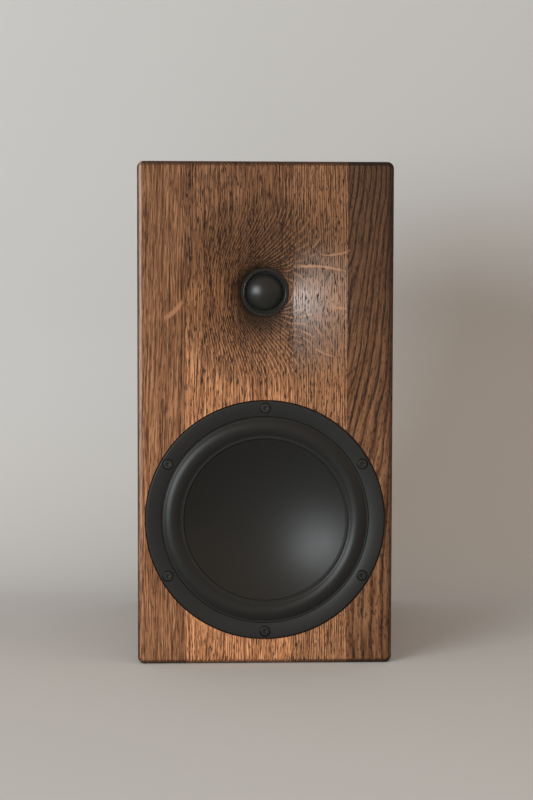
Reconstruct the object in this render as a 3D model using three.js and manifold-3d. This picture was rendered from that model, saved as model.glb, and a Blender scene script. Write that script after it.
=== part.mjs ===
// A two-way bookshelf loudspeaker: a solid oak cabinet with a horn carved into its baffle for a dome
// tweeter, a dished-cone woofer, a rear port and a recessed terminal cup with two binding posts.
// Millimetres, +Z up, the front faces -Y, and the origin is under the middle of the base.
import * as THREE from "three";
import { mergeVertices } from "three/addons/utils/BufferGeometryUtils.js";
import Module from "manifold-3d";

// Cabinet
const CABINET_WIDTH = 190;
const CABINET_HEIGHT = 374;
const CABINET_DEPTH = 280;
const BAFFLE_THICKNESS = 30;
const PANEL_THICKNESS = 18;
const REAR_PANEL_THICKNESS = 18;
const REAR_INSET = 10;
const EDGE_ROUND = 3.5;
const FACE_CORNER_RADIUS = 1.5;
const GLUE_LINE = 0.3;
const BRACE_THICKNESS = 15;
const BRACE_RIM = 24;
const FELT_THICKNESS = 12;

// Horn carved into the baffle, and the tweeter behind it
const TWEETER_HEIGHT = 277.5;
const HORN_MOUTH_RADIUS = 74;
const HORN_BLEND_WIDTH = 22;
const HORN_THROAT_RADIUS = 18.2;
const HORN_KNEE_WIDTH = 4.5;
const HORN_KNEE_RISE = 5;
const HORN_DEPTH = 14;
const THROAT_LAND = 4;
const DOME_RADIUS = 13.4;
const DOME_RISE = 6.5;
const DOME_THICKNESS = 0.5;
const DOME_ROLL_WIDTH = 2;
const DOME_SEAT_SETBACK = 2.4;
const TWEETER_WALL = 2;
const TWEETER_FLANGE_RADIUS = 36;
const TWEETER_FLANGE_THICKNESS = 3;
const TWEETER_COIL_THICKNESS = 0.5;
const TWEETER_COIL_OVERHANG = 1;
const TWEETER_GAP = 0.6;
const TWEETER_PLATE_THICKNESS = 3;
const TWEETER_PLATE_RADIUS = 25;
const TWEETER_MAGNET_THICKNESS = 9;
const TWEETER_MAGNET_RADIUS = 26;
const TWEETER_MAGNET_BORE_MARGIN = 3;
const TWEETER_YOKE_THICKNESS = 4;
const TWEETER_SCREW_COUNT = 3;
const TWEETER_SCREW_INSET = 5;
const TWEETER_SCREW_RADIUS = 1.5;
const TWEETER_SCREW_LENGTH = 10;
const TWEETER_SCREW_HEAD_RADIUS = 2.8;
const TWEETER_SCREW_HEAD_HEIGHT = 2;

// Woofer
const WOOFER_HEIGHT = 108;
const FLANGE_RADIUS = 89;
const FLANGE_THICKNESS = 4.6;
const FLANGE_PROUD = 0.4;
const FLANGE_DISH = 1.8;
const FLANGE_RIM_ROUND = 0.8;
const REBATE_CLEARANCE = 0.5;
const GASKET_THICKNESS = 1.2;
const SURROUND_SEAT_RADIUS = 77.4;
const SURROUND_LAND = 2.8;
const SURROUND_INNER_LAND = 0.5;
const SURROUND_LAND_THICKNESS = 1.7;
const SURROUND_PROUD = 0.6;
const SURROUND_EDGE = 0.4;
const SURROUND_THICKNESS = 0.9;
const ROLL_HEIGHT = 2.6;
const CONE_RADIUS = 61.3;
const CONE_DISH = 18;
const CONE_THICKNESS = 1.2;
const CONE_LIP = 2.7;
const CONE_SETBACK = 0.7;
const BASKET_NECK_RADIUS = 76;
const BASKET_WALL = 3;
const BASKET_NECK_LENGTH = 20;
const BASKET_DEPTH = 56;
const BASKET_PLATE = 4;
const BASKET_PLATE_RADIUS = 50;
const SPOKE_COUNT = 6;
const SPOKE_WIDTH = 13;
const SPIDER_DEPTH = 40;
const SPIDER_THICKNESS = 0.8;
const SPIDER_WAVE = 1.6;
const SPIDER_SEAT_WIDTH = 4;
const COIL_RADIUS = 16;
const COIL_WALL = 0.6;
const COIL_WINDING = 0.7;
const COIL_WINDING_LENGTH = 14;
const COIL_TAIL = 1;
const MAGNET_GAP = 0.6;
const TOP_PLATE_THICKNESS = 6;
const TOP_PLATE_RADIUS = 40;
const MAGNET_THICKNESS = 18;
const MAGNET_RADIUS = 45;
const MAGNET_BORE_MARGIN = 5;
const BACK_PLATE_THICKNESS = 6;
const POLE_VENT_RADIUS = 5;
const SCREW_COUNT = 6;
const SCREW_CIRCLE_RADIUS = 83.7;
const SCREW_HEAD_RADIUS = 3.6;
const SCREW_HEAD_HEIGHT = 2.2;
const SCREW_SHANK_RADIUS = 2;
const SCREW_LENGTH = 24;
const SCREW_HEAD_CLEARANCE = 0.5;
const SOCKET_SHARE = 0.42;
const SOCKET_DEPTH_SHARE = 0.7;

// Port
const PORT_DROP = 74;
const PORT_BORE_RADIUS = 25;
const PORT_WALL = 3;
const PORT_LENGTH = 125;
const PORT_FLARE_RADIUS = 14;
const PORT_LIP = 4;
const PORT_LIP_THICKNESS = 3;

// Terminal cup and binding posts
const TERMINAL_HEIGHT = 108;
const CUP_WIDTH = 84;
const CUP_HEIGHT = 56;
const CUP_DEPTH = 34;
const CUP_WALL = 2.5;
const CUP_FLOOR = 3.5;
const CUP_CORNER_RADIUS = 7;
const CUP_FLANGE_WIDTH = 11;
const CUP_FLANGE_THICKNESS = 3;
const CUP_SCREW_HEAD_RADIUS = 3.2;
const CUP_SCREW_HEAD_HEIGHT = 2;
const CUP_SCREW_SHANK_RADIUS = 1.6;
const CUP_SCREW_LENGTH = 14;
const POST_SPACING = 19.05;
const POST_SHAFT_RADIUS = 3.5;
const POST_BORE_RADIUS = 2.05;
const POST_BORE_LENGTH = 10;
const POST_COLLAR_RADIUS = 8;
const POST_COLLAR_HEIGHT = 4;
const POST_WASHER_RADIUS = 6.5;
const POST_WASHER_THICKNESS = 1.4;
const POST_KNOB_RADIUS = 7.5;
const POST_KNOB_LENGTH = 16;
const POST_KNOB_CHAMFER = 1;
const POST_TIP_RECESS = 1.5;
const POST_WIRE_HOLE_RADIUS = 1.8;
const POST_FLUTE_COUNT = 10;
const POST_FLUTE_RADIUS = 1;
const POST_NUT_RADIUS = 6;
const POST_NUT_THICKNESS = 4;
const POST_TAIL = 8;

// Crossover and wiring
const CROSSOVER_REAR_SPACE = 40;
const CROSSOVER_BOARD_THICKNESS = 6;
const CHOKE_RADIUS = 24;
const CHOKE_BORE_RADIUS = 10;
const CHOKE_HEIGHT = 22;
const SMALL_CHOKE_RADIUS = 15;
const SMALL_CHOKE_BORE_RADIUS = 6;
const SMALL_CHOKE_HEIGHT = 14;
const CAPACITOR_RADIUS = 12;
const CAPACITOR_LENGTH = 46;
const RESISTOR_LENGTH = 40;
const RESISTOR_SIDE = 10;
const PART_SPACING = 5;
const LEAD_RADIUS = 1.6;
const LEAD_CORE_SHARE = 0.85;
const TAG_WIDTH = 16;
const TAG_HEIGHT = 9;
const TAG_THICKNESS = 3;

// Neighbouring pieces keep this much room between them.
const GAP = GLUE_LINE;
const FLANGE_LIP_Y = FLANGE_DISH - FLANGE_PROUD;
const SURROUND_TOP_Y = FLANGE_LIP_Y - SURROUND_PROUD;
const ROLL_BASE_Y = SURROUND_TOP_Y + SURROUND_EDGE;
const ROLL_CREST_Y = ROLL_BASE_Y - ROLL_HEIGHT;
// The roll's crest stands in front of the baffle, and the origin is halfway from it to the back.
const FRONT_Y = -(CABINET_DEPTH + ROLL_CREST_Y) / 2;
const REAR_Y = FRONT_Y + CABINET_DEPTH;
const PANEL_FRONT_Y = FRONT_Y + BAFFLE_THICKNESS + GAP;
const REAR_PANEL_BACK_Y = REAR_Y - REAR_INSET;
const REAR_PANEL_FRONT_Y = REAR_PANEL_BACK_Y - REAR_PANEL_THICKNESS;
const INNER_HALF_WIDTH = CABINET_WIDTH / 2 - PANEL_THICKNESS;
const PORT_HEIGHT = CABINET_HEIGHT - PORT_DROP;
const BIG_ROUND = 32;
const MEDIUM_ROUND = 24;
const HIDDEN_ROUND = 16;
const SMALL_ROUND = 10;
const OVERCUT = 5;

const wasm = await Module();
wasm.setup();

// ---- Shapes -------------------------------------------------------------------------------------

// A closed geometry as a solid that can be joined and cut.
function solidOf(geometry) {
  const bare = geometry.index ? geometry.toNonIndexed() : geometry.clone();
  bare.deleteAttribute("normal");
  bare.deleteAttribute("uv");
  const merged = mergeVertices(bare, 1e-4);
  return new wasm.Manifold(
    new wasm.Mesh({
      numProp: 3,
      vertProperties: merged.attributes.position.array,
      triVerts: new Uint32Array(merged.index.array),
    }),
  );
}

// A solid as a geometry that a mesh can draw.
function geometryOf(solid) {
  const { numProp, numVert, vertProperties, triVerts } = solid.getMesh();
  const positions = new Float32Array(numVert * 3);
  for (let i = 0; i < numVert; i++) {
    positions.set(vertProperties.subarray(i * numProp, i * numProp + 3), i * 3);
  }
  const geometry = new THREE.BufferGeometry();
  geometry.setAttribute("position", new THREE.BufferAttribute(positions, 3));
  geometry.setIndex(new THREE.BufferAttribute(new Uint32Array(triVerts), 1));
  geometry.computeVertexNormals();
  return geometry;
}

// Twice the signed area of a closed profile.
function turnOf(profile) {
  return profile.reduce((sum, [r, y], i) => {
    const [nextR, nextY] = profile[(i + 1) % profile.length];
    return sum + r * nextY - nextR * y;
  }, 0);
}

// A profile of [radius, y] points turned round the Y axis. It closes on itself, or on the axis.
function revolve(profile, segments) {
  const ordered = turnOf(profile) > 0 ? profile : [...profile].reverse();
  const points = ordered.map(([r, y]) => new THREE.Vector2(r, y));
  return solidOf(new THREE.LatheGeometry([...points, points[0]], segments));
}

// A ring or, with no inner radius, a disc, from one y to another.
function ring(innerRadius, outerRadius, fromY, toY, segments) {
  const profile = [
    [innerRadius, fromY],
    [outerRadius, fromY],
    [outerRadius, toY],
    [innerRadius, toY],
  ];
  return revolve(profile, segments);
}

function disc(radius, fromY, toY, segments) {
  return ring(0, radius, fromY, toY, segments);
}

// A box between two corners.
function block(low, high) {
  const size = high.map((value, i) => value - low[i]);
  const middle = high.map((value, i) => (value + low[i]) / 2);
  return solidOf(new THREE.BoxGeometry(...size)).translate(middle);
}

// Points along a circular arc, as [radius, y], at angles measured from the forward direction.
function arc(centreR, centreY, radius, fromAngle, toAngle, steps) {
  return Array.from({ length: steps + 1 }, (_, i) => {
    const angle = fromAngle + ((toAngle - fromAngle) * i) / steps;
    return [centreR + radius * Math.sin(angle), centreY - radius * Math.cos(angle)];
  });
}

// Points across a shallow round cap that rises by `rise` in front of a rim at `rimY`.
function cap(rimRadius, rimY, rise, steps) {
  const radius = (rimRadius * rimRadius + rise * rise) / (2 * Math.abs(rise));
  const spread = Math.asin(rimRadius / radius);
  const side = Math.sign(rise);
  return arc(0, rimY + side * (radius - Math.abs(rise)), side * radius, 0, side * spread, steps);
}

// An upright outline in X and Z, pushed along Y from one y to another.
function extrude(shape, fromY, toY, bevel = 0) {
  const geometry = new THREE.ExtrudeGeometry(shape, {
    depth: toY - fromY - 2 * bevel,
    bevelEnabled: bevel > 0,
    bevelThickness: bevel,
    bevelSize: bevel,
    bevelSegments: 3,
    curveSegments: 3,
  });
  return solidOf(geometry.rotateX(Math.PI / 2).translate(0, toY - bevel, 0));
}

function roundedRectangle(width, lowZ, highZ, radius) {
  const half = width / 2;
  const shape = new THREE.Shape();
  shape.moveTo(half - radius, lowZ);
  shape.absarc(half - radius, lowZ + radius, radius, -Math.PI / 2, 0);
  shape.absarc(half - radius, highZ - radius, radius, 0, Math.PI / 2);
  shape.absarc(radius - half, highZ - radius, radius, Math.PI / 2, Math.PI);
  shape.absarc(radius - half, lowZ + radius, radius, Math.PI, Math.PI * 1.5);
  return shape;
}

function polygon(points) {
  return new THREE.Shape(points.map(([x, z]) => new THREE.Vector2(x, z)));
}

// A round lead along a smooth route.
function lead(points) {
  const path = new THREE.CatmullRomCurve3(points.map((p) => new THREE.Vector3(...p)));
  const section = new THREE.Shape().absarc(0, 0, LEAD_RADIUS, 0, Math.PI * 2);
  return solidOf(
    new THREE.ExtrudeGeometry(section, {
      extrudePath: path,
      steps: 12,
      curveSegments: 4,
      bevelEnabled: false,
    }),
  );
}

// Copies of one solid, spaced evenly round the Y axis, the first one at the top.
function aroundY(solid, count) {
  return Array.from({ length: count }, (_, i) => solid.rotate([0, (i * 360) / count, 0]));
}

function joinAll(solids) {
  return solids.reduce((whole, next) => whole.add(next));
}

// ---- Materials ----------------------------------------------------------------------------------

const paint = (color, roughness, metalness = 0) =>
  new THREE.MeshStandardMaterial({ color, roughness, metalness });
const oak = paint(0x7d5438, 0.5);
const oakInside = paint(0x9c7650, 0.7);
const blackCast = paint(0x2b2b2a, 0.5, 0.3);
const coneBlack = paint(0x252524, 0.4);
const rubber = paint(0x232322, 0.6);
const blackPlastic = paint(0x1f1f1f, 0.5);
const domeFabric = paint(0x2a2a28, 0.5);
const steel = paint(0x9a9c9e, 0.4, 0.9);
const blackSteel = paint(0x1d1d1d, 0.4, 0.8);
const ferrite = paint(0x3a3a3c, 0.7);
const copper = paint(0xb06a3a, 0.35, 0.9);
const aluminium = paint(0xb8babc, 0.4, 0.9);
const gold = paint(0xc9a24a, 0.25, 1);
const redPlastic = paint(0x9a1f1c, 0.4);
const clothYellow = paint(0xb59a5a, 0.8);
const felt = paint(0x55555a, 0.95);
const greyFoam = paint(0x303030, 0.95);
const capacitorFilm = paint(0x2b4a6e, 0.4);
const cement = paint(0xd8d6cf, 0.8);
const leadSleeve = paint(0x8a2522, 0.5);

// ---- Cabinet ------------------------------------------------------------------------------------

// The outside of the whole cabinet, with its rounded edges and corners.
function cabinetEnvelope() {
  const face = roundedRectangle(
    CABINET_WIDTH - 2 * EDGE_ROUND,
    EDGE_ROUND,
    CABINET_HEIGHT - EDGE_ROUND,
    FACE_CORNER_RADIUS,
  );
  return extrude(face, FRONT_Y, REAR_Y, EDGE_ROUND);
}

// Where the flange's back lands, behind the baffle's front, and the rebate that takes it.
const FLANGE_BACK = FLANGE_THICKNESS - FLANGE_PROUD;
const REBATE_DEPTH = FLANGE_BACK + GASKET_THICKNESS + 2 * GAP;
const WOOFER_HOLE_RADIUS = BASKET_NECK_RADIUS + REBATE_CLEARANCE;

// The horn's wall from the throat to the mouth, where it runs out smoothly into the flat face.
function hornWall(steps) {
  const curve = new THREE.CubicBezierCurve(
    new THREE.Vector2(HORN_THROAT_RADIUS, HORN_DEPTH),
    new THREE.Vector2(HORN_THROAT_RADIUS + HORN_KNEE_WIDTH, HORN_DEPTH - HORN_KNEE_RISE),
    new THREE.Vector2(HORN_MOUTH_RADIUS - HORN_BLEND_WIDTH, 0),
    new THREE.Vector2(HORN_MOUTH_RADIUS, 0),
  );
  return curve.getPoints(steps).map((point) => [point.x, point.y]);
}

// The tweeter's flange lands in a pocket in the baffle's back, close behind the throat.
const POCKET_DEPTH = HORN_DEPTH + THROAT_LAND;
const POCKET_RADIUS = TWEETER_FLANGE_RADIUS + REBATE_CLEARANCE;
const TWEETER_SCREW_CIRCLE = TWEETER_FLANGE_RADIUS - TWEETER_SCREW_INSET;

function hornCutter() {
  const back = BAFFLE_THICKNESS + OVERCUT;
  const bore = revolve(
    [
      [0, back],
      [HORN_THROAT_RADIUS, back],
      ...hornWall(8),
      [HORN_MOUTH_RADIUS, -OVERCUT],
      [0, -OVERCUT],
    ],
    BIG_ROUND,
  );
  const pilot = disc(
    TWEETER_SCREW_RADIUS + GAP,
    POCKET_DEPTH + TWEETER_FLANGE_THICKNESS - TWEETER_SCREW_LENGTH + TWEETER_SCREW_HEAD_HEIGHT,
    back,
    SMALL_ROUND,
  ).translate([0, 0, TWEETER_SCREW_CIRCLE]);
  const pocket = disc(POCKET_RADIUS, POCKET_DEPTH, back, MEDIUM_ROUND);
  return joinAll([bore, pocket, ...aroundY(pilot, TWEETER_SCREW_COUNT)]);
}

function wooferCutter() {
  const pilot = disc(
    SCREW_SHANK_RADIUS + GAP,
    0,
    SCREW_LENGTH + GAP,
    SMALL_ROUND,
  ).translate([0, 0, SCREW_CIRCLE_RADIUS]);
  const well = revolve(
    [
      [0, -OVERCUT],
      [FLANGE_RADIUS + REBATE_CLEARANCE, -OVERCUT],
      [FLANGE_RADIUS + REBATE_CLEARANCE, REBATE_DEPTH],
      [WOOFER_HOLE_RADIUS, REBATE_DEPTH],
      [WOOFER_HOLE_RADIUS, BAFFLE_THICKNESS + OVERCUT],
      [0, BAFFLE_THICKNESS + OVERCUT],
    ],
    BIG_ROUND,
  );
  return joinAll([well, ...aroundY(pilot, SCREW_COUNT)]);
}

function frontBaffle() {
  const slab = block(
    [-CABINET_WIDTH, FRONT_Y - OVERCUT, -OVERCUT],
    [CABINET_WIDTH, FRONT_Y + BAFFLE_THICKNESS, CABINET_HEIGHT + OVERCUT],
  );
  return cabinetEnvelope()
    .intersect(slab)
    .subtract(hornCutter().translate([0, FRONT_Y, TWEETER_HEIGHT]))
    .subtract(wooferCutter().translate([0, FRONT_Y, WOOFER_HEIGHT]));
}

// Four carcass panels, mitred at their corners. Each is the part of the envelope behind the baffle
// that lies inside its own four-sided outline.
function carcassPanel(outline) {
  return cabinetEnvelope().intersect(
    extrude(polygon(outline), PANEL_FRONT_Y, REAR_Y + OVERCUT),
  );
}

const MITRE_SHIFT = GAP / Math.SQRT2;

function sidePanel(side) {
  const outer = side * (CABINET_WIDTH / 2 + OVERCUT);
  const inner = side * INNER_HALF_WIDTH;
  const low = PANEL_THICKNESS + MITRE_SHIFT;
  const high = CABINET_HEIGHT - PANEL_THICKNESS - MITRE_SHIFT;
  return carcassPanel([
    [outer, low - PANEL_THICKNESS - OVERCUT],
    [inner, low],
    [inner, high],
    [outer, high + PANEL_THICKNESS + OVERCUT],
  ]);
}

function endPanel(edgeZ, inwards) {
  const outerHalf = CABINET_WIDTH / 2 + OVERCUT - MITRE_SHIFT;
  const innerHalf = INNER_HALF_WIDTH - MITRE_SHIFT;
  const outerZ = edgeZ - inwards * OVERCUT;
  const innerZ = edgeZ + inwards * PANEL_THICKNESS;
  return carcassPanel([
    [-outerHalf, outerZ],
    [outerHalf, outerZ],
    [innerHalf, innerZ],
    [-innerHalf, innerZ],
  ]);
}

const CUP_OUTER_WIDTH = CUP_WIDTH + 2 * CUP_WALL;
const CUP_OUTER_HEIGHT = CUP_HEIGHT + 2 * CUP_WALL;
const CUP_SCREW_X = CUP_OUTER_WIDTH / 2 + CUP_FLANGE_WIDTH / 2;
const CUP_SCREW_Z = CUP_OUTER_HEIGHT / 2 - CUP_CORNER_RADIUS;
const CUP_SCREW_PLACES = [
  [-CUP_SCREW_X, CUP_SCREW_Z],
  [CUP_SCREW_X, CUP_SCREW_Z],
  [-CUP_SCREW_X, -CUP_SCREW_Z],
  [CUP_SCREW_X, -CUP_SCREW_Z],
];

function uprightRectangle(width, height, radius) {
  return roundedRectangle(width, -height / 2, height / 2, radius);
}

function rearPanel() {
  const half = INNER_HALF_WIDTH - GAP;
  const board = block(
    [-half, REAR_PANEL_FRONT_Y, PANEL_THICKNESS + GAP],
    [half, REAR_PANEL_BACK_Y, CABINET_HEIGHT - PANEL_THICKNESS - GAP],
  );
  const lipRadius = PORT_BORE_RADIUS + PORT_FLARE_RADIUS + PORT_LIP + GAP;
  const portHole = revolve(
    [
      [0, -REAR_PANEL_THICKNESS - OVERCUT],
      [PORT_BORE_RADIUS + PORT_WALL + GAP, -REAR_PANEL_THICKNESS - OVERCUT],
      [PORT_BORE_RADIUS + PORT_WALL + GAP, -PORT_FLARE_RADIUS - PORT_WALL - GAP],
      [lipRadius, -PORT_LIP_THICKNESS - GAP],
      [lipRadius, OVERCUT],
      [0, OVERCUT],
    ],
    MEDIUM_ROUND,
  ).translate([0, REAR_PANEL_BACK_Y, PORT_HEIGHT]);
  const cupHole = extrude(
    uprightRectangle(
      CUP_OUTER_WIDTH + 2 * GAP,
      CUP_OUTER_HEIGHT + 2 * GAP,
      CUP_CORNER_RADIUS + CUP_WALL,
    ),
    REAR_PANEL_FRONT_Y - OVERCUT,
    REAR_PANEL_BACK_Y + OVERCUT,
  ).translate([0, 0, TERMINAL_HEIGHT]);
  const pilots = CUP_SCREW_PLACES.map(([x, z]) =>
    disc(
      CUP_SCREW_SHANK_RADIUS + GAP,
      REAR_PANEL_BACK_Y - CUP_SCREW_LENGTH,
      REAR_PANEL_BACK_Y + OVERCUT,
      SMALL_ROUND,
    ).translate([x, 0, TERMINAL_HEIGHT + z]),
  );
  return board.subtract(joinAll([portHole, cupHole, ...pilots]));
}

// A shelf between the two drivers that ties all four panels together, open in two windows.
const BRACE_HEIGHT = (WOOFER_HEIGHT + FLANGE_RADIUS + TWEETER_HEIGHT - TWEETER_FLANGE_RADIUS) / 2;
const BRACE_LOW_Z = BRACE_HEIGHT - BRACE_THICKNESS / 2;
const BRACE_HIGH_Z = BRACE_HEIGHT + BRACE_THICKNESS / 2;
const BRACE_FRONT_Y = PANEL_FRONT_Y;
const BRACE_BACK_Y = REAR_PANEL_FRONT_Y - GAP;
const BRACE_MIDDLE_Y = (BRACE_FRONT_Y + BRACE_BACK_Y) / 2;

function shelfBrace() {
  const half = INNER_HALF_WIDTH - GAP;
  const board = block([-half, BRACE_FRONT_Y, BRACE_LOW_Z], [half, BRACE_BACK_Y, BRACE_HIGH_Z]);
  const window = (fromY, toY) =>
    block(
      [-half + BRACE_RIM, fromY, BRACE_LOW_Z - OVERCUT],
      [half - BRACE_RIM, toY, BRACE_HIGH_Z + OVERCUT],
    );
  return board
    .subtract(window(BRACE_FRONT_Y + BRACE_RIM, BRACE_MIDDLE_Y - BRACE_RIM / 2))
    .subtract(window(BRACE_MIDDLE_Y + BRACE_RIM / 2, BRACE_BACK_Y - BRACE_RIM));
}

// Felt over the sides and the top of the upper chamber.
function dampingFelt() {
  const outer = INNER_HALF_WIDTH - GAP;
  const inner = outer - FELT_THICKNESS;
  const low = BRACE_HIGH_Z + GAP;
  const top = CABINET_HEIGHT - PANEL_THICKNESS - GAP;
  const arch = [
    [-outer, low],
    [-inner, low],
    [-inner, top - FELT_THICKNESS],
    [inner, top - FELT_THICKNESS],
    [inner, low],
    [outer, low],
    [outer, top],
    [-outer, top],
  ];
  return extrude(polygon(arch), PANEL_FRONT_Y + OVERCUT, REAR_PANEL_FRONT_Y - GAP);
}

// ---- Woofer: y counts back from the baffle's front ----------------------------------------------

// The flange's face falls towards the cone, more steeply as it nears the surround.
function flangeFaceAt(radius) {
  const outer = FLANGE_RADIUS - FLANGE_RIM_ROUND;
  const share = (outer - radius) / (outer - SURROUND_SEAT_RADIUS);
  return FLANGE_DISH * share * share - FLANGE_PROUD;
}

const SURROUND_BACK_Y = SURROUND_TOP_Y + SURROUND_LAND_THICKNESS;
const CONE_RIM_Y = SURROUND_TOP_Y + CONE_SETBACK;
const CONE_LIP_FRONT_Y = SURROUND_BACK_Y + GAP;
const LIP_RADIUS = CONE_RADIUS + CONE_LIP;
const COIL_OUTER = COIL_RADIUS + COIL_WALL + GAP + COIL_WINDING;
const SPIDER_SEAT_RADIUS = BASKET_PLATE_RADIUS + SPIDER_SEAT_WIDTH;
const TOP_PLATE_Y = BASKET_DEPTH + GAP;
const MAGNET_Y = TOP_PLATE_Y + TOP_PLATE_THICKNESS + GAP;
const BACK_PLATE_Y = MAGNET_Y + MAGNET_THICKNESS + GAP;
const CONE_MIDDLE_Y = CONE_RIM_Y + CONE_DISH;

function wooferBasket() {
  const wallInner = BASKET_NECK_RADIUS - BASKET_WALL;
  const faceSteps = 3;
  const face = Array.from({ length: faceSteps + 1 }, (_, i) => {
    const outer = FLANGE_RADIUS - FLANGE_RIM_ROUND;
    const radius = outer + ((SURROUND_SEAT_RADIUS - outer) * i) / faceSteps;
    return [radius, flangeFaceAt(radius)];
  });
  const body = revolve(
    [
      [FLANGE_RADIUS, FLANGE_BACK],
      [FLANGE_RADIUS, FLANGE_RIM_ROUND - FLANGE_PROUD],
      ...face,
      [SURROUND_SEAT_RADIUS, SURROUND_BACK_Y + GAP],
      [wallInner, SURROUND_BACK_Y + GAP],
      [wallInner, BASKET_NECK_LENGTH],
      [SPIDER_SEAT_RADIUS, SPIDER_DEPTH],
      [BASKET_PLATE_RADIUS, SPIDER_DEPTH],
      [BASKET_PLATE_RADIUS - BASKET_WALL, BASKET_DEPTH - BASKET_PLATE],
      [COIL_OUTER + BASKET_WALL, BASKET_DEPTH - BASKET_PLATE],
      [COIL_OUTER + BASKET_WALL, BASKET_DEPTH],
      [BASKET_PLATE_RADIUS, BASKET_DEPTH],
      [SPIDER_SEAT_RADIUS + BASKET_WALL, SPIDER_DEPTH + BASKET_WALL],
      [BASKET_NECK_RADIUS, BASKET_NECK_LENGTH],
      [BASKET_NECK_RADIUS, FLANGE_BACK],
    ],
    BIG_ROUND,
  );
  const spokes = joinAll(
    aroundY(
      block(
        [-SPOKE_WIDTH / 2, BASKET_NECK_LENGTH - OVERCUT, 0],
        [SPOKE_WIDTH / 2, SPIDER_DEPTH + OVERCUT, FLANGE_RADIUS],
      ),
      SPOKE_COUNT,
    ),
  ).rotate([0, 180 / SPOKE_COUNT, 0]);
  const windows = ring(
    SPIDER_SEAT_RADIUS + BASKET_WALL,
    FLANGE_RADIUS,
    BASKET_NECK_LENGTH,
    SPIDER_DEPTH - BASKET_WALL,
    BIG_ROUND,
  ).subtract(spokes);
  const screwHole = joinAll([
    disc(SCREW_SHANK_RADIUS + GAP, -OVERCUT, FLANGE_BACK + OVERCUT, SMALL_ROUND),
    disc(SCREW_HEAD_RADIUS + SCREW_HEAD_CLEARANCE, -OVERCUT, SCREW_SEAT_Y + GAP, SMALL_ROUND),
  ]).translate([0, 0, SCREW_CIRCLE_RADIUS]);
  return body.subtract(joinAll([windows, ...aroundY(screwHole, SCREW_COUNT)]));
}

const SCREW_TOP_Y = flangeFaceAt(SCREW_CIRCLE_RADIUS) + GAP;
const SCREW_SEAT_Y = SCREW_TOP_Y + SCREW_HEAD_HEIGHT;

// A round-headed screw with a six-sided socket, its head's face at y = 0.
function socketScrew(headRadius, headHeight, shankRadius, length) {
  const body = revolve(
    [
      [0, 0],
      [headRadius, 0],
      [headRadius, headHeight],
      [shankRadius, headHeight],
      [shankRadius, length - shankRadius],
      [0, length],
    ],
    SMALL_ROUND,
  );
  const socket = disc(headRadius * SOCKET_SHARE, -OVERCUT, headHeight * SOCKET_DEPTH_SHARE, 6);
  return body.subtract(socket);
}

function wooferGasket() {
  const hole = disc(SCREW_SHANK_RADIUS + GAP, 0, REBATE_DEPTH, SMALL_ROUND);
  const holes = aroundY(hole.translate([0, 0, SCREW_CIRCLE_RADIUS]), SCREW_COUNT);
  const washer = ring(
    WOOFER_HOLE_RADIUS + REBATE_CLEARANCE,
    FLANGE_RADIUS - REBATE_CLEARANCE,
    FLANGE_BACK + GAP,
    FLANGE_BACK + GAP + GASKET_THICKNESS,
    BIG_ROUND,
  );
  return washer.subtract(joinAll(holes));
}

// A half roll of rubber between a flat land on the basket and one on the cone's lip.
function wooferSurround() {
  const outerLand = SURROUND_SEAT_RADIUS - GAP;
  const innerLand = CONE_RADIUS + 2 * GAP;
  const rollOuter = SURROUND_SEAT_RADIUS - SURROUND_LAND;
  const rollInner = innerLand + SURROUND_INNER_LAND;
  const halfWidth = (rollOuter - rollInner) / 2;
  const middle = (rollOuter + rollInner) / 2;
  const radius = (halfWidth * halfWidth + ROLL_HEIGHT * ROLL_HEIGHT) / (2 * ROLL_HEIGHT);
  const centreY = ROLL_CREST_Y + radius;
  const spread = Math.atan2(halfWidth, radius - ROLL_HEIGHT);
  const front = arc(middle, centreY, radius, spread, -spread, 6);
  const back = arc(middle, centreY, radius - SURROUND_THICKNESS, -spread, spread, 3);
  return revolve(
    [
      [outerLand, ROLL_BASE_Y],
      [outerLand - SURROUND_EDGE, SURROUND_TOP_Y],
      [rollOuter + SURROUND_EDGE, SURROUND_TOP_Y],
      ...front,
      [innerLand, ROLL_BASE_Y],
      [innerLand, SURROUND_BACK_Y],
      [back[0][0], SURROUND_BACK_Y],
      ...back,
      [back.at(-1)[0], SURROUND_BACK_Y],
      [outerLand, SURROUND_BACK_Y],
    ],
    BIG_ROUND,
  );
}

// A dished cone with no dust cap, and a flat lip round it that carries the surround.
function wooferCone() {
  const front = cap(CONE_RADIUS, CONE_RIM_Y, -CONE_DISH, 5);
  const backRim = CONE_RADIUS - CONE_THICKNESS;
  const back = cap(backRim, CONE_LIP_FRONT_Y + CONE_THICKNESS, -CONE_DISH, 3);
  const depthShift = CONE_MIDDLE_Y + CONE_THICKNESS - back[0][1];
  return revolve(
    [
      ...front,
      [CONE_RADIUS + GAP, CONE_RIM_Y],
      [CONE_RADIUS + GAP, CONE_LIP_FRONT_Y],
      [LIP_RADIUS, CONE_LIP_FRONT_Y],
      [LIP_RADIUS, CONE_LIP_FRONT_Y + CONE_THICKNESS],
      ...back.map(([r, y]) => [r, y + depthShift * (1 - r / backRim)]).reverse(),
    ],
    BIG_ROUND,
  );
}

// The coil former reaches from the cone's back into the magnet's gap.
const FORMER_FRONT_Y = CONE_MIDDLE_Y + CONE_THICKNESS + GAP;
const COIL_MIDDLE_Y = TOP_PLATE_Y + TOP_PLATE_THICKNESS / 2;
const FORMER_BACK_Y = COIL_MIDDLE_Y + COIL_WINDING_LENGTH / 2 + COIL_TAIL;

function coilFormer() {
  return ring(COIL_RADIUS, COIL_RADIUS + COIL_WALL, FORMER_FRONT_Y, FORMER_BACK_Y, HIDDEN_ROUND);
}

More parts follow.
